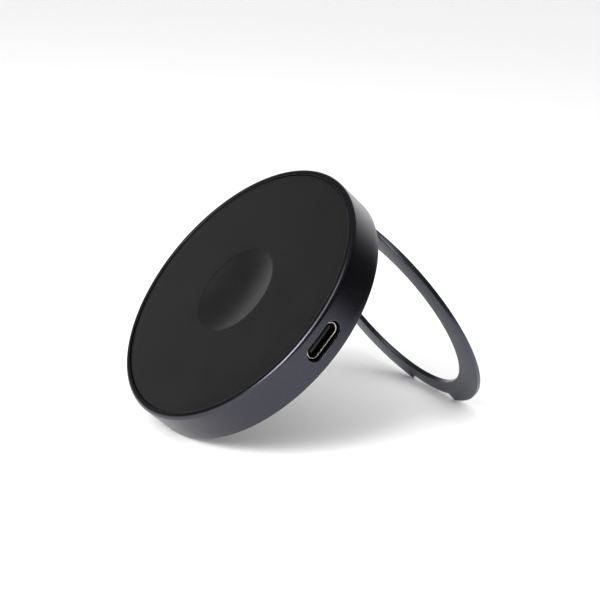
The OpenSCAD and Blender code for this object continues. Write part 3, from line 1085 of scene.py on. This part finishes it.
@dataclass
class ChargingPort:
    """The receptacle: steel shell, tongue and its contacts.

    Attributes:
        space: the puck's frame.
        skin: thickness of the shell's steel.
        mouth_round: radius of the shell's mouth.
        back_t: thickness of the insulator's back block.
        nose: rounding of the tongue's front.
        plate_w: width of the tongue.
        contact_t: thickness of a contact.
        contact_pitch: distance between contacts.
        contact_count: contacts on each face of the tongue.
    """

    space: Space
    skin: float = 0.3
    mouth_round: float = 0.13
    back_t: float = 1.6
    nose: float = 0.12
    plate_w: float = 6.7
    contact_t: float = 0.05
    contact_pitch: float = 0.5
    contact_count: int = 12

    def build(self) -> list[bpy.types.Object]:
        """Builds and dresses the shell, the tongue and the contacts."""
        return [self._shell(), self._tongue(), self._contacts()]

    def _shell(self) -> bpy.types.Object:
        """Builds the shell as a tube with a rounded mouth."""
        low, high = self.space.box("usb_shell")
        width, height, z = high.y - low.y, high.z - low.z, (low.z + high.z) / 2
        maker = MeshMaker()
        rounding = self.mouth_round
        stages = [(0.0, low.x)]
        stages += [
            (rounding * (1 - math.cos(a)), high.x - rounding * (1 - math.sin(a)))
            for a in (math.radians(90 * i / 5) for i in range(6))
        ]
        stages += [
            (self.skin - rounding * (1 - math.cos(a)), high.x - rounding * (1 - math.sin(a)))
            for a in (math.radians(90 * i / 5) for i in range(5, -1, -1))
        ]
        stages += [(self.skin, low.x)]
        rows = []
        for inset, x in stages:
            outline = slot_outline(width - 2 * inset, height - 2 * inset)
            rows.append(maker.ring([along_x(x, z)(u, v) for u, v in outline]))
        for first, second in zip(rows, rows[1:] + rows[:1]):
            maker.bridge(first, second)
        piece = maker.finish("Port_shell", self.space)
        dress(piece, "puck", DRAWN_STAINLESS, ["usb_shell"])
        return piece

    def _tongue(self) -> bpy.types.Object:
        """Builds the back block and the tongue with a rounded nose."""
        low, high = self.space.box("usb_tongue")
        shell_low, shell_high = self.space.box("usb_shell")
        z = (shell_low.z + shell_high.z) / 2
        slot = slot_outline(high.y - low.y, high.z - low.z)
        levels = [(slot, along_x(x, z)) for x in (low.x, low.x + self.back_t)]
        block = lofted("Port_tongue", levels, self.space)
        contact_low, contact_high = self.space.box("usb_contacts")
        thick = (contact_high.z - contact_low.z) - 2 * self.contact_t
        wide, nose = self.plate_w, self.nose
        levels = [
            (rounded_outline(wide, thick, 0.12), along_x(low.x + self.back_t - 0.1, z)),
            (rounded_outline(wide, thick, 0.12), along_x(high.x - nose, z)),
            (rounded_outline(wide - nose, thick - nose, 0.1), along_x(high.x - nose * 0.3, z)),
            (rounded_outline(wide - 2 * nose, thick - 2 * nose, 0.06), along_x(high.x, z)),
        ]
        combine(block, [lofted("tongue", levels, self.space)], "UNION")
        dress(block, "puck", PORT_POLYMER, ["usb_tongue"])
        return block

    def _contacts(self) -> bpy.types.Object:
        """Repeats one contact along both faces of the tongue."""
        low, high = self.space.box("usb_contacts")
        pitch, thick = self.contact_pitch, self.contact_t
        wide = (high.y - low.y) - (self.contact_count - 1) * pitch
        bar = rounded_outline(wide, thick, 0.02, 2)
        one = lofted("contact", [(bar, along_x(x)) for x in (low.x, high.x)], Space(Matrix()))
        places = [
            Vector((0.0, low.y + wide / 2 + i * pitch, z))
            for z in (low.z + thick / 2, high.z - thick / 2)
            for i in range(self.contact_count)
        ]
        piece = repeated("Port_contacts", one, places, CONTACT_GOLD, self.space)
        dress(piece, "puck", CONTACT_GOLD, ["usb_contacts"])
        return piece


def grown(
    name: str,
    inputs: dict[str, float | int | bpy.types.Object],
    finish: Finish,
    grow: Callable[[bpy.types.NodeTree, bpy.types.NodeOutputs], bpy.types.NodeSocket],
    start: bpy.types.Mesh | None = None,
) -> bpy.types.Object:
    """Grows a plain mesh with Geometry Nodes.

    Args:
        name: name of the piece and of its tree.
        inputs: a value for each of the tree's named inputs.
        finish: its surface.
        grow: adds the nodes and gives back the socket of the grown shape.
        start: the mesh that the tree starts from.

    Returns:
        The piece, with its modifier made mesh.
    """
    piece = bpy.data.objects.new(name, start or bpy.data.meshes.new(name))
    bpy.context.scene.collection.objects.link(piece)
    tree = bpy.data.node_groups.new(name, "GeometryNodeTree")
    kinds = ((bpy.types.Object, "NodeSocketObject"), (int, "NodeSocketInt"), (float, "NodeSocketFloat"))

    def socket(key: str, kind: str, way: str = "INPUT") -> str:
        """Adds a named socket to the tree and gives back its identifier."""
        return tree.interface.new_socket(name=key, in_out=way, socket_type=kind).identifier

    socket("Geometry", "NodeSocketGeometry")
    known = {
        key: socket(key, next(kind for sort, kind in kinds if isinstance(value, sort)))
        for key, value in inputs.items()
    }
    surface = socket("Surface", "NodeSocketMaterial")
    socket("Geometry", "NodeSocketGeometry", "OUTPUT")
    given = add_node(tree, "NodeGroupInput").outputs
    real = add_node(tree, "GeometryNodeRealizeInstances", None, {"Geometry": grow(tree, given)})
    coat = add_node(
        tree,
        "GeometryNodeSetMaterial",
        None,
        {"Geometry": real.outputs["Geometry"], "Material": given["Surface"]},
    )
    add_node(tree, "NodeGroupOutput", None, {"Geometry": coat.outputs["Geometry"]})
    change = piece.modifiers.new("grow", "NODES")
    change.node_group = tree
    for key, value in inputs.items():
        change[known[key]] = value
    change[surface] = finish.build()
    bake(piece)
    return piece


def repeated(
    name: str,
    one: bpy.types.Object,
    places: Sequence[Vector],
    finish: Finish,
    space: Space,
    turns: Sequence[float] = (),
) -> bpy.types.Object:
    """Repeats a small piece at several places with Geometry Nodes.

    Args:
        name: name of the new piece.
        one: the small piece, round its own origin. It is removed.
        places: where its origin goes, in the space's millimetres.
        finish: its surface.
        space: the frame of the places.
        turns: angle of each copy about Z, in radians. Without it none is turned.

    Returns:
        One plain mesh with every copy.
    """
    points = bpy.data.meshes.new(name)
    points.from_pydata([tuple(p * MM) for p in places], [], [])
    turn = points.attributes.new("turn", "FLOAT", "POINT")
    turn.data.foreach_set("value", list(turns) or [0.0] * len(places))

    def grow(tree: bpy.types.NodeTree, given: bpy.types.NodeOutputs) -> bpy.types.NodeSocket:
        """Puts a copy of the part on every point."""
        source = add_node(
            tree, "GeometryNodeObjectInfo", None, {"Object": given["Part"]}, transform_space="ORIGINAL"
        )
        angle = add_node(tree, "GeometryNodeInputNamedAttribute", {"Name": "turn"}, data_type="FLOAT")
        about = add_node(
            tree,
            "FunctionNodeAxisAngleToRotation",
            {"Axis": tuple(UP)},
            {"Angle": angle.outputs["Attribute"]},
        )
        return add_node(
            tree,
            "GeometryNodeInstanceOnPoints",
            None,
            {
                "Points": given["Geometry"],
                "Instance": source.outputs["Geometry"],
                "Rotation": about.outputs["Rotation"],
            },
        ).outputs["Instances"]

    piece = grown(name, {"Part": one}, finish, grow, points)
    piece.data.transform(space.place)
    bpy.data.objects.remove(one)
    soften(piece.data)
    return piece


# ---------------------------------------------------------------- inside the puck


@dataclass
class ChargingCoil:
    """The flat winding: one litz wire wound outwards in a spiral.

    Attributes:
        space: the puck's frame.
        turns: number of turns from the innermost to the outermost wire.
        sides: faces round the wire.
        steps: pieces in each turn.
    """

    space: Space
    turns: float = 8.0
    sides: int = 16
    steps: int = 120

    def build(self) -> bpy.types.Object:
        """Winds and dresses the coil."""
        low, high = self.space.box("charging_coil")
        inner, outer = self.space.reach("charging_coil")
        wire = (high.z - low.z) / 2
        inputs = {
            "Turns": self.turns,
            "Inner radius": (inner + wire) * MM,
            "Outer radius": (outer - wire) * MM,
            "Wire radius": wire * MM,
        }
        piece = grown("Charging_coil", inputs, LITZ_COPPER, self._wind)
        piece.data.transform(self.space.place @ Matrix.Translation(UP * (low.z + wire) * MM))
        soften(piece.data)
        dress(piece, "puck", LITZ_COPPER, ["charging_coil"])
        return piece

    def _wind(self, tree: bpy.types.NodeTree, given: bpy.types.NodeOutputs) -> bpy.types.NodeSocket:
        """Sweeps the wire along a flat spiral."""
        path = add_node(
            tree,
            "GeometryNodeCurveSpiral",
            {"Resolution": self.steps, "Height": 0.0},
            {
                "Rotations": given["Turns"],
                "Start Radius": given["Inner radius"],
                "End Radius": given["Outer radius"],
            },
        )
        wire = add_node(
            tree,
            "GeometryNodeCurvePrimitiveCircle",
            {"Resolution": self.sides},
            {"Radius": given["Wire radius"]},
        )
        return add_node(
            tree,
            "GeometryNodeCurveToMesh",
            {"Fill Caps": True},
            {"Curve": path.outputs["Curve"], "Profile Curve": wire.outputs["Curve"]},
        ).outputs["Mesh"]


@dataclass
class AlignmentMagnets:
    """The arc-shaped magnets, open at the port.

    Attributes:
        space: the puck's frame.
        edge: rounding of a magnet's long edges.
        steps: pieces along each magnet.
        gap_deg: angle between two magnets, in degrees.
        open_deg: half the angle left open at the port, in degrees.
    """

    space: Space
    edge: float = 0.2
    steps: int = 10
    gap_deg: float = 0.7
    open_deg: float = 14.0

    def build(self) -> bpy.types.Object:
        """Builds one magnet and repeats it round the arc."""
        inner, outer = self.space.reach("alignment_magnets")
        solids = self.space.islands("alignment_magnets")
        angles = sorted(self._middle(low, high) for low, high in solids)
        pitch = angles[1] - angles[0]
        span = pitch - math.radians(self.gap_deg)
        low, high = solids[0]
        section = rounded_outline(outer - inner, high.z - low.z, self.edge, 3)
        mean = (inner + outer) / 2
        levels = [
            (section, self._across(mean, span * (i / self.steps - 0.5), (low.z + high.z) / 2))
            for i in range(self.steps + 1)
        ]
        one = lofted("magnet", levels, Space(Matrix()))
        places = [Vector((0.0, 0.0, 0.0)) for _ in angles]
        start = math.radians(self.open_deg) + pitch / 2
        turns = [start + i * pitch for i in range(len(angles))]
        piece = repeated("Alignment_magnets", one, places, NICKEL_PLATE, self.space, turns)
        dress(piece, "puck", NICKEL_PLATE, ["alignment_magnets"])
        return piece

    @staticmethod
    def _middle(low: Vector, high: Vector) -> float:
        """Gives the direction of the middle of a solid's box, from 0 to a full turn."""
        return math.atan2(low.y + high.y, low.x + high.x) % (2 * math.pi)

    @staticmethod
    def _across(radius: float, angle: float, z: float) -> Callable[[float, float], Point]:
        """Gives the function that stands a section up across the arc at an angle."""
        return lambda u, v: ((radius + u) * math.cos(angle), (radius + u) * math.sin(angle), z + v)


@dataclass
class PanScrews:
    """Pan head screws with a cross recess and a ridged shank, one in each of their holes.

    Attributes:
        space: the puck's frame.
        name: name of the piece.
        node: the CAD node.
        shank_r: radius over the ridges.
        head_t: height of the head.
        ridge: distance between the ridges.
    """

    space: Space
    name: str
    node: str
    shank_r: float
    head_t: float = 0.6
    ridge: float = 0.25

    def build(self) -> bpy.types.Object:
        """Builds one screw and repeats it."""
        solids = self.space.islands(self.node)
        low, high = solids[0]
        head_r = (high.x - low.x) / 2
        shank = high.z - low.z - self.head_t
        core, count = self.shank_r * 0.82, int(shank / self.ridge) - 1
        profile = [(0.0, -shank), (core * 0.8, -shank), (core, -shank + 0.12)]
        for i in range(count):
            base = -shank + 0.12 + i * self.ridge
            profile += [(self.shank_r, base + self.ridge * 0.4), (core, base + self.ridge * 0.9)]
        profile += [(core, 0.0), (head_r - 0.06, 0.0), (head_r, 0.06), (head_r, self.head_t * 0.5)]
        turns = (0.35, 0.7, 1.05, 1.35)
        dome = [(head_r * math.cos(a), self.head_t * (0.5 + 0.5 * math.sin(a))) for a in turns]
        profile += dome + [(0.0, self.head_t)]
        one = turned(self.name + "_one", profile, Space(Matrix()), 32)
        cross = []
        for long, short in ((head_r * 1.1, 0.22), (0.22, head_r * 1.1)):
            bar = rounded_outline(long, short, 0.04, 2)
            levels = [(bar, at_height(self.head_t * z)) for z in (0.45, 1.2)]
            cross.append(lofted("cross", levels, Space(Matrix())))
        combine(one, cross)
        places = [Vector(((a.x + b.x) / 2, (a.y + b.y) / 2, b.z - self.head_t)) for a, b in solids]
        turns = [0.4 + 1.7 * i for i in range(len(places))]
        piece = repeated(self.name, one, places, SCREW_ZINC, self.space, turns)
        dress(piece, "puck", SCREW_ZINC, [self.node])
        return piece


# ---------------------------------------------------------------- stand


@dataclass
class RingStand:
    """The aluminium ring with its two feet, the notch between them and the hinge's cut-outs.

    Attributes:
        space: the stand's frame, folded.
        edge: radius of the ring's edges.
        foot_span: distance between the tips of the feet.
        notch_depth: depth of the notch between the feet.
        lean: slope of the notch's ends, in degrees from the tangent.
        tip_round: rounding of the cut edges.
        flat_back: how far the flat lies behind the hinge's axis.
        slot_back: how far the slot's floor lies behind the hinge's axis.
        slot_play: clearance of the slot beyond each end of the pin.
        tongue_w: width of the step for the knuckle's tongue.
        columns: faces round the ring.
    """

    space: Space
    edge: float = 0.2
    foot_span: float = 17.6
    notch_depth: float = 2.0
    lean: float = 49.0
    tip_round: float = 0.12
    flat_back: float = 0.15
    slot_back: float = 1.75
    slot_play: float = 0.5
    tongue_w: float = 8.4
    columns: int = 720

    def build(self) -> bpy.types.Object:
        """Builds and dresses the ring."""
        low, high = self.space.box("ring_stand")
        inner, outer = self.space.reach("ring_stand")
        piece = self._ring(inner, outer, high.z - low.z, (high.z + low.z) / 2)
        self._cut(piece, outer, (low.z + high.z) / 2)
        break_edges(piece, self.tip_round, 48)
        dress(piece, "stand", RING_ALUMINIUM_PAINTED_LIGHTER, ["ring_stand"])
        return piece

    def _ring(self, inner: float, outer: float, thick: float, middle: float) -> bpy.types.Object:
        """Sweeps the ring's rounded section round a circle with Geometry Nodes.

        Args:
            inner: inner radius.
            outer: outer radius.
            thick: thickness.
            middle: height of the section's middle.

        Returns:
            The whole ring, before its cuts.
        """
        inputs = {
            "Mean radius": (inner + outer) / 2 * MM,
            "Section width": (outer - inner) * MM,
            "Section height": thick * MM,
            "Edge radius": self.edge * MM,
        }

        def sweep(tree: bpy.types.NodeTree, given: bpy.types.NodeOutputs) -> bpy.types.NodeSocket:
            """Sweeps a rounded rectangle along a circle."""
            path = add_node(
                tree,
                "GeometryNodeCurvePrimitiveCircle",
                {"Resolution": self.columns},
                {"Radius": given["Mean radius"]},
            )
            section = add_node(
                tree,
                "GeometryNodeCurvePrimitiveQuadrilateral",
                None,
                {"Width": given["Section width"], "Height": given["Section height"]},
            )
            rounded = add_node(
                tree,
                "GeometryNodeFilletCurve",
                {"Count": ROUND_STEPS},
                {"Curve": section.outputs["Curve"], "Radius": given["Edge radius"]},
                mode="POLY",
            )
            return add_node(
                tree,
                "GeometryNodeCurveToMesh",
                None,
                {"Curve": path.outputs["Curve"], "Profile Curve": rounded.outputs["Curve"]},
            ).outputs["Mesh"]

        piece = grown("Ring_stand", inputs, RING_ALUMINIUM_PAINTED_LIGHTER, sweep)
        piece.data.transform(self.space.place @ Matrix.Translation(UP * middle * MM))
        work = bmesh.new()
        work.from_mesh(piece.data)
        bmesh.ops.remove_doubles(work, verts=work.verts, dist=0.0005 * MM)
        bmesh.ops.recalc_face_normals(work, faces=work.faces)
        work.to_mesh(piece.data)
        work.free()
        soften(piece.data)
        return piece

    def _cut(self, piece: bpy.types.Object, outer: float, middle: float) -> None:
        """Cuts the notch between the feet, and the flat, slot, step and rivet holes at the hinge.

        Args:
            piece: the ring.
            outer: its outer radius.
            middle: height of its middle.
        """
        tall = 3.0
        half = self.foot_span / 2
        drop = math.sqrt(outer**2 - half**2)
        floor_r = outer - self.notch_depth
        slope = 1 / math.tan(math.radians(self.lean))
        far = outer + 3
        far_x = half + (far - drop) * slope
        join = self._notch_end(half, drop, slope, floor_r)
        turn = math.degrees(math.atan2(-join[1], join[0]))
        notch = [(-far_x, -far), (far_x, -far)] + arc((0, 0), floor_r, -turn, turn - 180, 48)
        cutters = [self._prism(notch, middle - tall, middle + tall)]
        pin_low, pin_high = self.space.box("hinge_pin")
        joint_y = (pin_low.y + pin_high.y) / 2
        knuckle_low, _ = self.space.box("stand_knuckle")
        rivet_low, rivet_high = self.space.box("knuckle_rivets")
        slot_half = pin_high.x + self.slot_play
        step_half = self.tongue_w / 2
        flat_y, slot_y = joint_y - self.flat_back, joint_y - self.slot_back
        cutters.append(self._block(-outer - 2, outer + 2, flat_y, outer + 2, middle - tall, middle + tall))
        cutters.append(self._block(-slot_half, slot_half, slot_y, outer + 2, middle - tall, middle + tall))
        cutters.append(self._block(-step_half, step_half, knuckle_low.y, outer + 2, middle, middle + tall))
        rivet_r = (rivet_high.y - rivet_low.y) / 2
        for side in (-1, 1):
            ring = arc((side * (rivet_high.x - rivet_r), rivet_low.y + rivet_r), rivet_r, 0, 345, 23)
            cutters.append(self._prism(ring, middle - tall, middle + tall))
        combine(piece, cutters)

    @staticmethod
    def _notch_end(half: float, drop: float, slope: float, floor_r: float) -> tuple[float, float]:
        """Finds where a sloped end of the notch meets its round floor."""
        x, y = half, -drop
        step = 0.001
        while math.hypot(x, y) > floor_r:
            x, y = x - slope * step, y + step
        return x, y

    def _prism(self, outline: Outline, low: float, high: float) -> bpy.types.Object:
        """Makes an upright prism from an outline."""
        return lofted("cutter", [(outline, at_height(low)), (outline, at_height(high))], self.space)

    def _block(self, x0: float, x1: float, y0: float, y1: float, z0: float, z1: float) -> bpy.types.Object:
        """Makes a square-cornered cutter between two corners."""
        return self._prism([(x0, y0), (x1, y0), (x1, y1), (x0, y1)], z0, z1)


@dataclass
class Fitting:
    """A small machined or moulded part that follows its CAD node, with its edges broken.

    Attributes:
        name: name of the piece.
        node: the CAD node.
        body: the body that it rides on.
        finish: its surface.
        edge: rounding of its edges, in millimetres.
    """

    name: str
    node: str
    body: str
    finish: Finish
    edge: float

    def build(self) -> bpy.types.Object:
        """Builds and dresses the part."""
        piece = cleaned_copy(self.node, self.name)
        break_edges(piece, self.edge)
        dress(piece, self.body, self.finish, [self.node])
        return piece


@dataclass(frozen=True)
class KeptNode:
    """A CAD node that is shown as it is, in a better material.

    Attributes:
        node: the CAD node.
        finish: its surface.
    """

    node: str
    finish: Finish

    def build(self) -> None:
        """Puts the finish on the node."""
        mesh = frame["nodes"][self.node].data
        mesh.materials.clear()
        mesh.materials.append(self.finish.build())
        log.info("%s: kept, %s", self.node, self.finish.name)


# ---------------------------------------------------------------- studio


@dataclass(frozen=True)
class Softbox:
    """A square soft light, turned to the object.

    Attributes:
        name: name of the light.
        watts: its power.
        side: length of its side, in millimetres.
        place_mm: its place in the row frame.
    """

    name: str
    watts: float
    side: float
    place_mm: Point

    def build(self) -> bpy.types.Object:
        """Hangs the light."""
        light = bpy.data.lights.new(self.name, "AREA")
        light.shape, light.size = "SQUARE", self.side * MM
        light.energy = self.watts
        light.color = (1.0, 0.985, 0.96)
        softbox = bpy.data.objects.new(self.name, light)
        softbox.location = Vector(self.place_mm) * MM
        softbox.rotation_mode = "QUATERNION"
        softbox.rotation_quaternion = softbox.location.to_track_quat("Z", "Y")
        bpy.context.scene.collection.objects.link(softbox)
        return softbox


@dataclass
class Studio:
    """The pale floor, the soft lights and the camera.

    Attributes:
        azimuth: direction of the camera round the object, in degrees; 0 looks along +Y.
        elevation: angle of the camera above the horizon, in degrees.
        roll: how far the camera is turned about its own axis, in degrees.
        lens_mm: focal length on a sensor 36 mm wide.
        camera_mm: place of the camera in the row frame.
        floor_r: radius of the floor, in millimetres.
        floor_colour: the floor's paint.
        key: the softbox overhead, which casts the soft shadow.
        fill: the softbox low in front, which the rim mirrors.
        open_side: direction of the bright end of the room.
        room_dark: strength of the room's dark end in what the object mirrors.
        room_bright: strength of its bright end.
        room_top: strength added overhead.
        soft_side: strength of the soft light from the horizon.
        soft_top: strength of the soft light from overhead.
    """

    azimuth: float = 58.482
    elevation: float = 15.626
    roll: float = 3.3329
    lens_mm: float = 82.302
    camera_mm: Point = (257.115, -159.240, 111.063)
    floor_r: float = 3000.0
    floor_colour: str = "#f2f2f3"
    key: Softbox = Softbox("Key", 0.9, 240.0, (130.0, -270.0, 520.0))
    fill: Softbox = Softbox("Fill", 5.0, 300.0, (150.0, -500.0, 320.0))
    open_side: Point = (-0.85, 0.53, 0.0)
    room_dark: float = 0.03
    room_bright: float = 1.5
    room_top: float = 0.22
    soft_side: float = 0.7
    soft_top: float = 1.15

    def build(self) -> None:
        """Builds the floor, the lights, the room and the camera."""
        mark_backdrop(self._floor(), self.key.build(), self.fill.build())
        self._room()
        self._camera()
        settings = bpy.context.scene.view_settings
        settings.view_transform, settings.look = "Standard", "None"
        log.info("studio: camera at %s mm, lens %.1f mm", self.camera_mm, self.lens_mm)

    def _floor(self) -> bpy.types.Object:
        """Lays a round matte floor on the ground."""
        count = 128
        turns = (2 * math.pi * i / count for i in range(count))
        mesh = bpy.data.meshes.new("Floor")
        rim = [(math.cos(a) * self.floor_r * MM, math.sin(a) * self.floor_r * MM, 0.0) for a in turns]
        mesh.from_pydata(rim, [], [tuple(range(count))])
        floor = bpy.data.objects.new("Floor", mesh)
        bpy.context.scene.collection.objects.link(floor)
        material = bpy.data.materials.new("Matte_white_board")
        material.use_nodes = True
        tree = material.node_tree
        shader = tree.nodes["Principled BSDF"]
        shader.inputs["Base Color"].default_value = linear(self.floor_colour)
        shader.inputs["Roughness"].default_value = 0.55
        shader.inputs["Specular IOR Level"].default_value = 0.1
        mesh.materials.append(material)
        return floor

    def _room(self) -> None:
        """Makes the room: white to look at, and bright at one end in what the object mirrors."""
        world = bpy.data.worlds.new("Room")
        bpy.context.scene.world = world
        world.use_nodes = True
        tree = world.node_tree
        tree.nodes.clear()
        way = add_node(tree, "ShaderNodeTexCoord").outputs["Generated"]
        toward = add_node(
            tree,
            "ShaderNodeVectorMath",
            {1: tuple(Vector(self.open_side).normalized())},
            {0: way},
            operation="DOT_PRODUCT",
        ).outputs["Value"]
        height = add_node(tree, "ShaderNodeSeparateXYZ", None, {0: way}).outputs["Z"]

        def graded(
            value: bpy.types.NodeSocket, start: float, end: float, low: float, high: float
        ) -> bpy.types.NodeSocket:
            """Grades the light's strength smoothly between two values of a direction."""
            ends = {"From Min": start, "From Max": end, "To Min": low, "To Max": high}
            return add_node(
                tree, "ShaderNodeMapRange", ends, {"Value": value}, interpolation_type="SMOOTHSTEP"
            ).outputs["Result"]

        low_end = add_node(
            tree,
            "ShaderNodeMath",
            {2: self.room_dark},
            {0: graded(toward, 0.45, 0.9, 0.0, self.room_bright), 1: graded(height, 0.12, 0.45, 1.0, 0.0)},
            operation="MULTIPLY_ADD",
        ).outputs["Value"]
        level = add_node(
            tree,
            "ShaderNodeMath",
            None,
            {
                0: low_end,
                1: graded(height, 0.15, 0.85, 0.0, self.room_top),
            },
            operation="ADD",
        ).outputs["Value"]
        around = graded(height, 0.0, 0.8, self.soft_side, self.soft_top)
        mirrored = add_node(
            tree, "ShaderNodeBackground", {"Color": (1.0, 0.985, 0.97, 1.0)}, {"Strength": level}
        )
        soft = add_node(tree, "ShaderNodeBackground", {"Color": (1.0, 1.0, 1.0, 1.0)}, {"Strength": around})
        seen = add_node(tree, "ShaderNodeBackground", {"Color": (0.985, 0.985, 0.99, 1.0), "Strength": 1.0})
        path = add_node(tree, "ShaderNodeLightPath").outputs
        lit = add_node(
            tree,
            "ShaderNodeMixShader",
            None,
            {0: path["Is Diffuse Ray"], 1: mirrored.outputs["Background"], 2: soft.outputs["Background"]},
        )
        pick = add_node(
            tree,
            "ShaderNodeMixShader",
            None,
            {0: path["Is Camera Ray"], 1: lit.outputs["Shader"], 2: seen.outputs["Background"]},
        )
        add_node(tree, "ShaderNodeOutputWorld", None, {"Surface": pick.outputs["Shader"]})
        world.cycles.sampling_method = "NONE"

    def _camera(self) -> None:
        """Places the camera."""
        around, above, roll = (math.radians(a) for a in (self.azimuth, self.elevation, self.roll))
        back = Vector(
            (math.sin(around) * math.cos(above), -math.cos(around) * math.cos(above), math.sin(above))
        )
        level = Vector((math.cos(around), math.sin(around), 0.0))
        right = level * math.cos(roll) + back.cross(level) * math.sin(roll)
        turn = Matrix((right, back.cross(right), back)).transposed()
        data = bpy.data.cameras.new("Camera")
        data.sensor_width, data.lens = 36.0, self.lens_mm
        data.clip_start, data.clip_end = 0.01, 20.0
        camera = bpy.data.objects.new("Camera", data)
        camera.matrix_world = Matrix.Translation(Vector(self.camera_mm) * MM) @ turn.to_4x4()
        bpy.context.scene.collection.objects.link(camera)
        bpy.context.scene.camera = camera


FITTINGS = (
    Fitting("Hinge_bracket", "hinge_bracket", "puck", OXIDE_STEEL, 0.12),
    Fitting("Hinge_pin", "hinge_pin", "puck", GROUND_STEEL, 0.08),
    Fitting("Friction_washers", "friction_washers", "puck", SINTERED_BRONZE, 0.04),
    Fitting("Stand_knuckle", "stand_knuckle", "stand", OXIDE_STEEL, 0.1),
    Fitting("Knuckle_rivets", "knuckle_rivets", "stand", RIVET_NICKEL, 0.08),
    Fitting("Carrier_frame", "carrier_frame", "puck", CARRIER_NYLON, 0.08),
    Fitting("Coil_leads", "coil_leads", "puck", TINNED_COPPER, 0.05),
    Fitting("Ferrite_sheet", "ferrite_sheet", "puck", FERRITE_SHEET, 0.1),
    Fitting("Magnet_shield", "magnet_shield", "puck", ROLLED_STEEL, 0.08),
    Fitting("Main_board", "main_board", "puck", BOARD_LAMINATE, 0.05),
    Fitting("Controller_chip", "controller_chip", "puck", CHIP_EPOXY, 0.08),
    Fitting("Power_transistors", "power_transistors", "puck", CHIP_EPOXY, 0.08),
    Fitting("Power_inductor", "power_inductor", "puck", POWDER_CORE, 0.15),
    Fitting("Resonant_capacitors", "resonant_capacitors", "puck", FIRED_CERAMIC, 0.1),
    Fitting("Small_parts", "small_parts", "puck", FIRED_CERAMIC, 0.05),
    Fitting("Thermal_pad", "thermal_pad", "puck", GAP_SILICONE, 0.08),
)
KEPT = (
    KeptNode("cover_adhesive", ADHESIVE_FILM),
    KeptNode("pad_adhesive", ADHESIVE_FILM),
    KeptNode("thermistor", DIPPED_EPOXY),
)


def corners() -> list[list[float]]:
    """Reads the shown object's box as plain lists."""
    return [[float(c) for c in corner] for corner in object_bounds()]


def main() -> None:
    logging.basicConfig(level=logging.INFO, format="%(message)s")
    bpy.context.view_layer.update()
    puck = puck_space()
    stand = stand_space(puck)
    Housing(puck).build()
    FrontCover(puck).build()
    RearPad(puck).build()
    ChargingPort(puck).build()
    RingStand(stand).build()
    ChargingCoil(puck).build()
    AlignmentMagnets(puck).build()
    PanScrews(puck, "Board_screws", "board_screws", 0.7).build()
    PanScrews(puck, "Hinge_screws", "hinge_screws", 0.6).build()
    for fitting in FITTINGS:
        fitting.build()
    for kept in KEPT:
        kept.build()
    Studio().build()


if __name__ == "__main__":
    main()
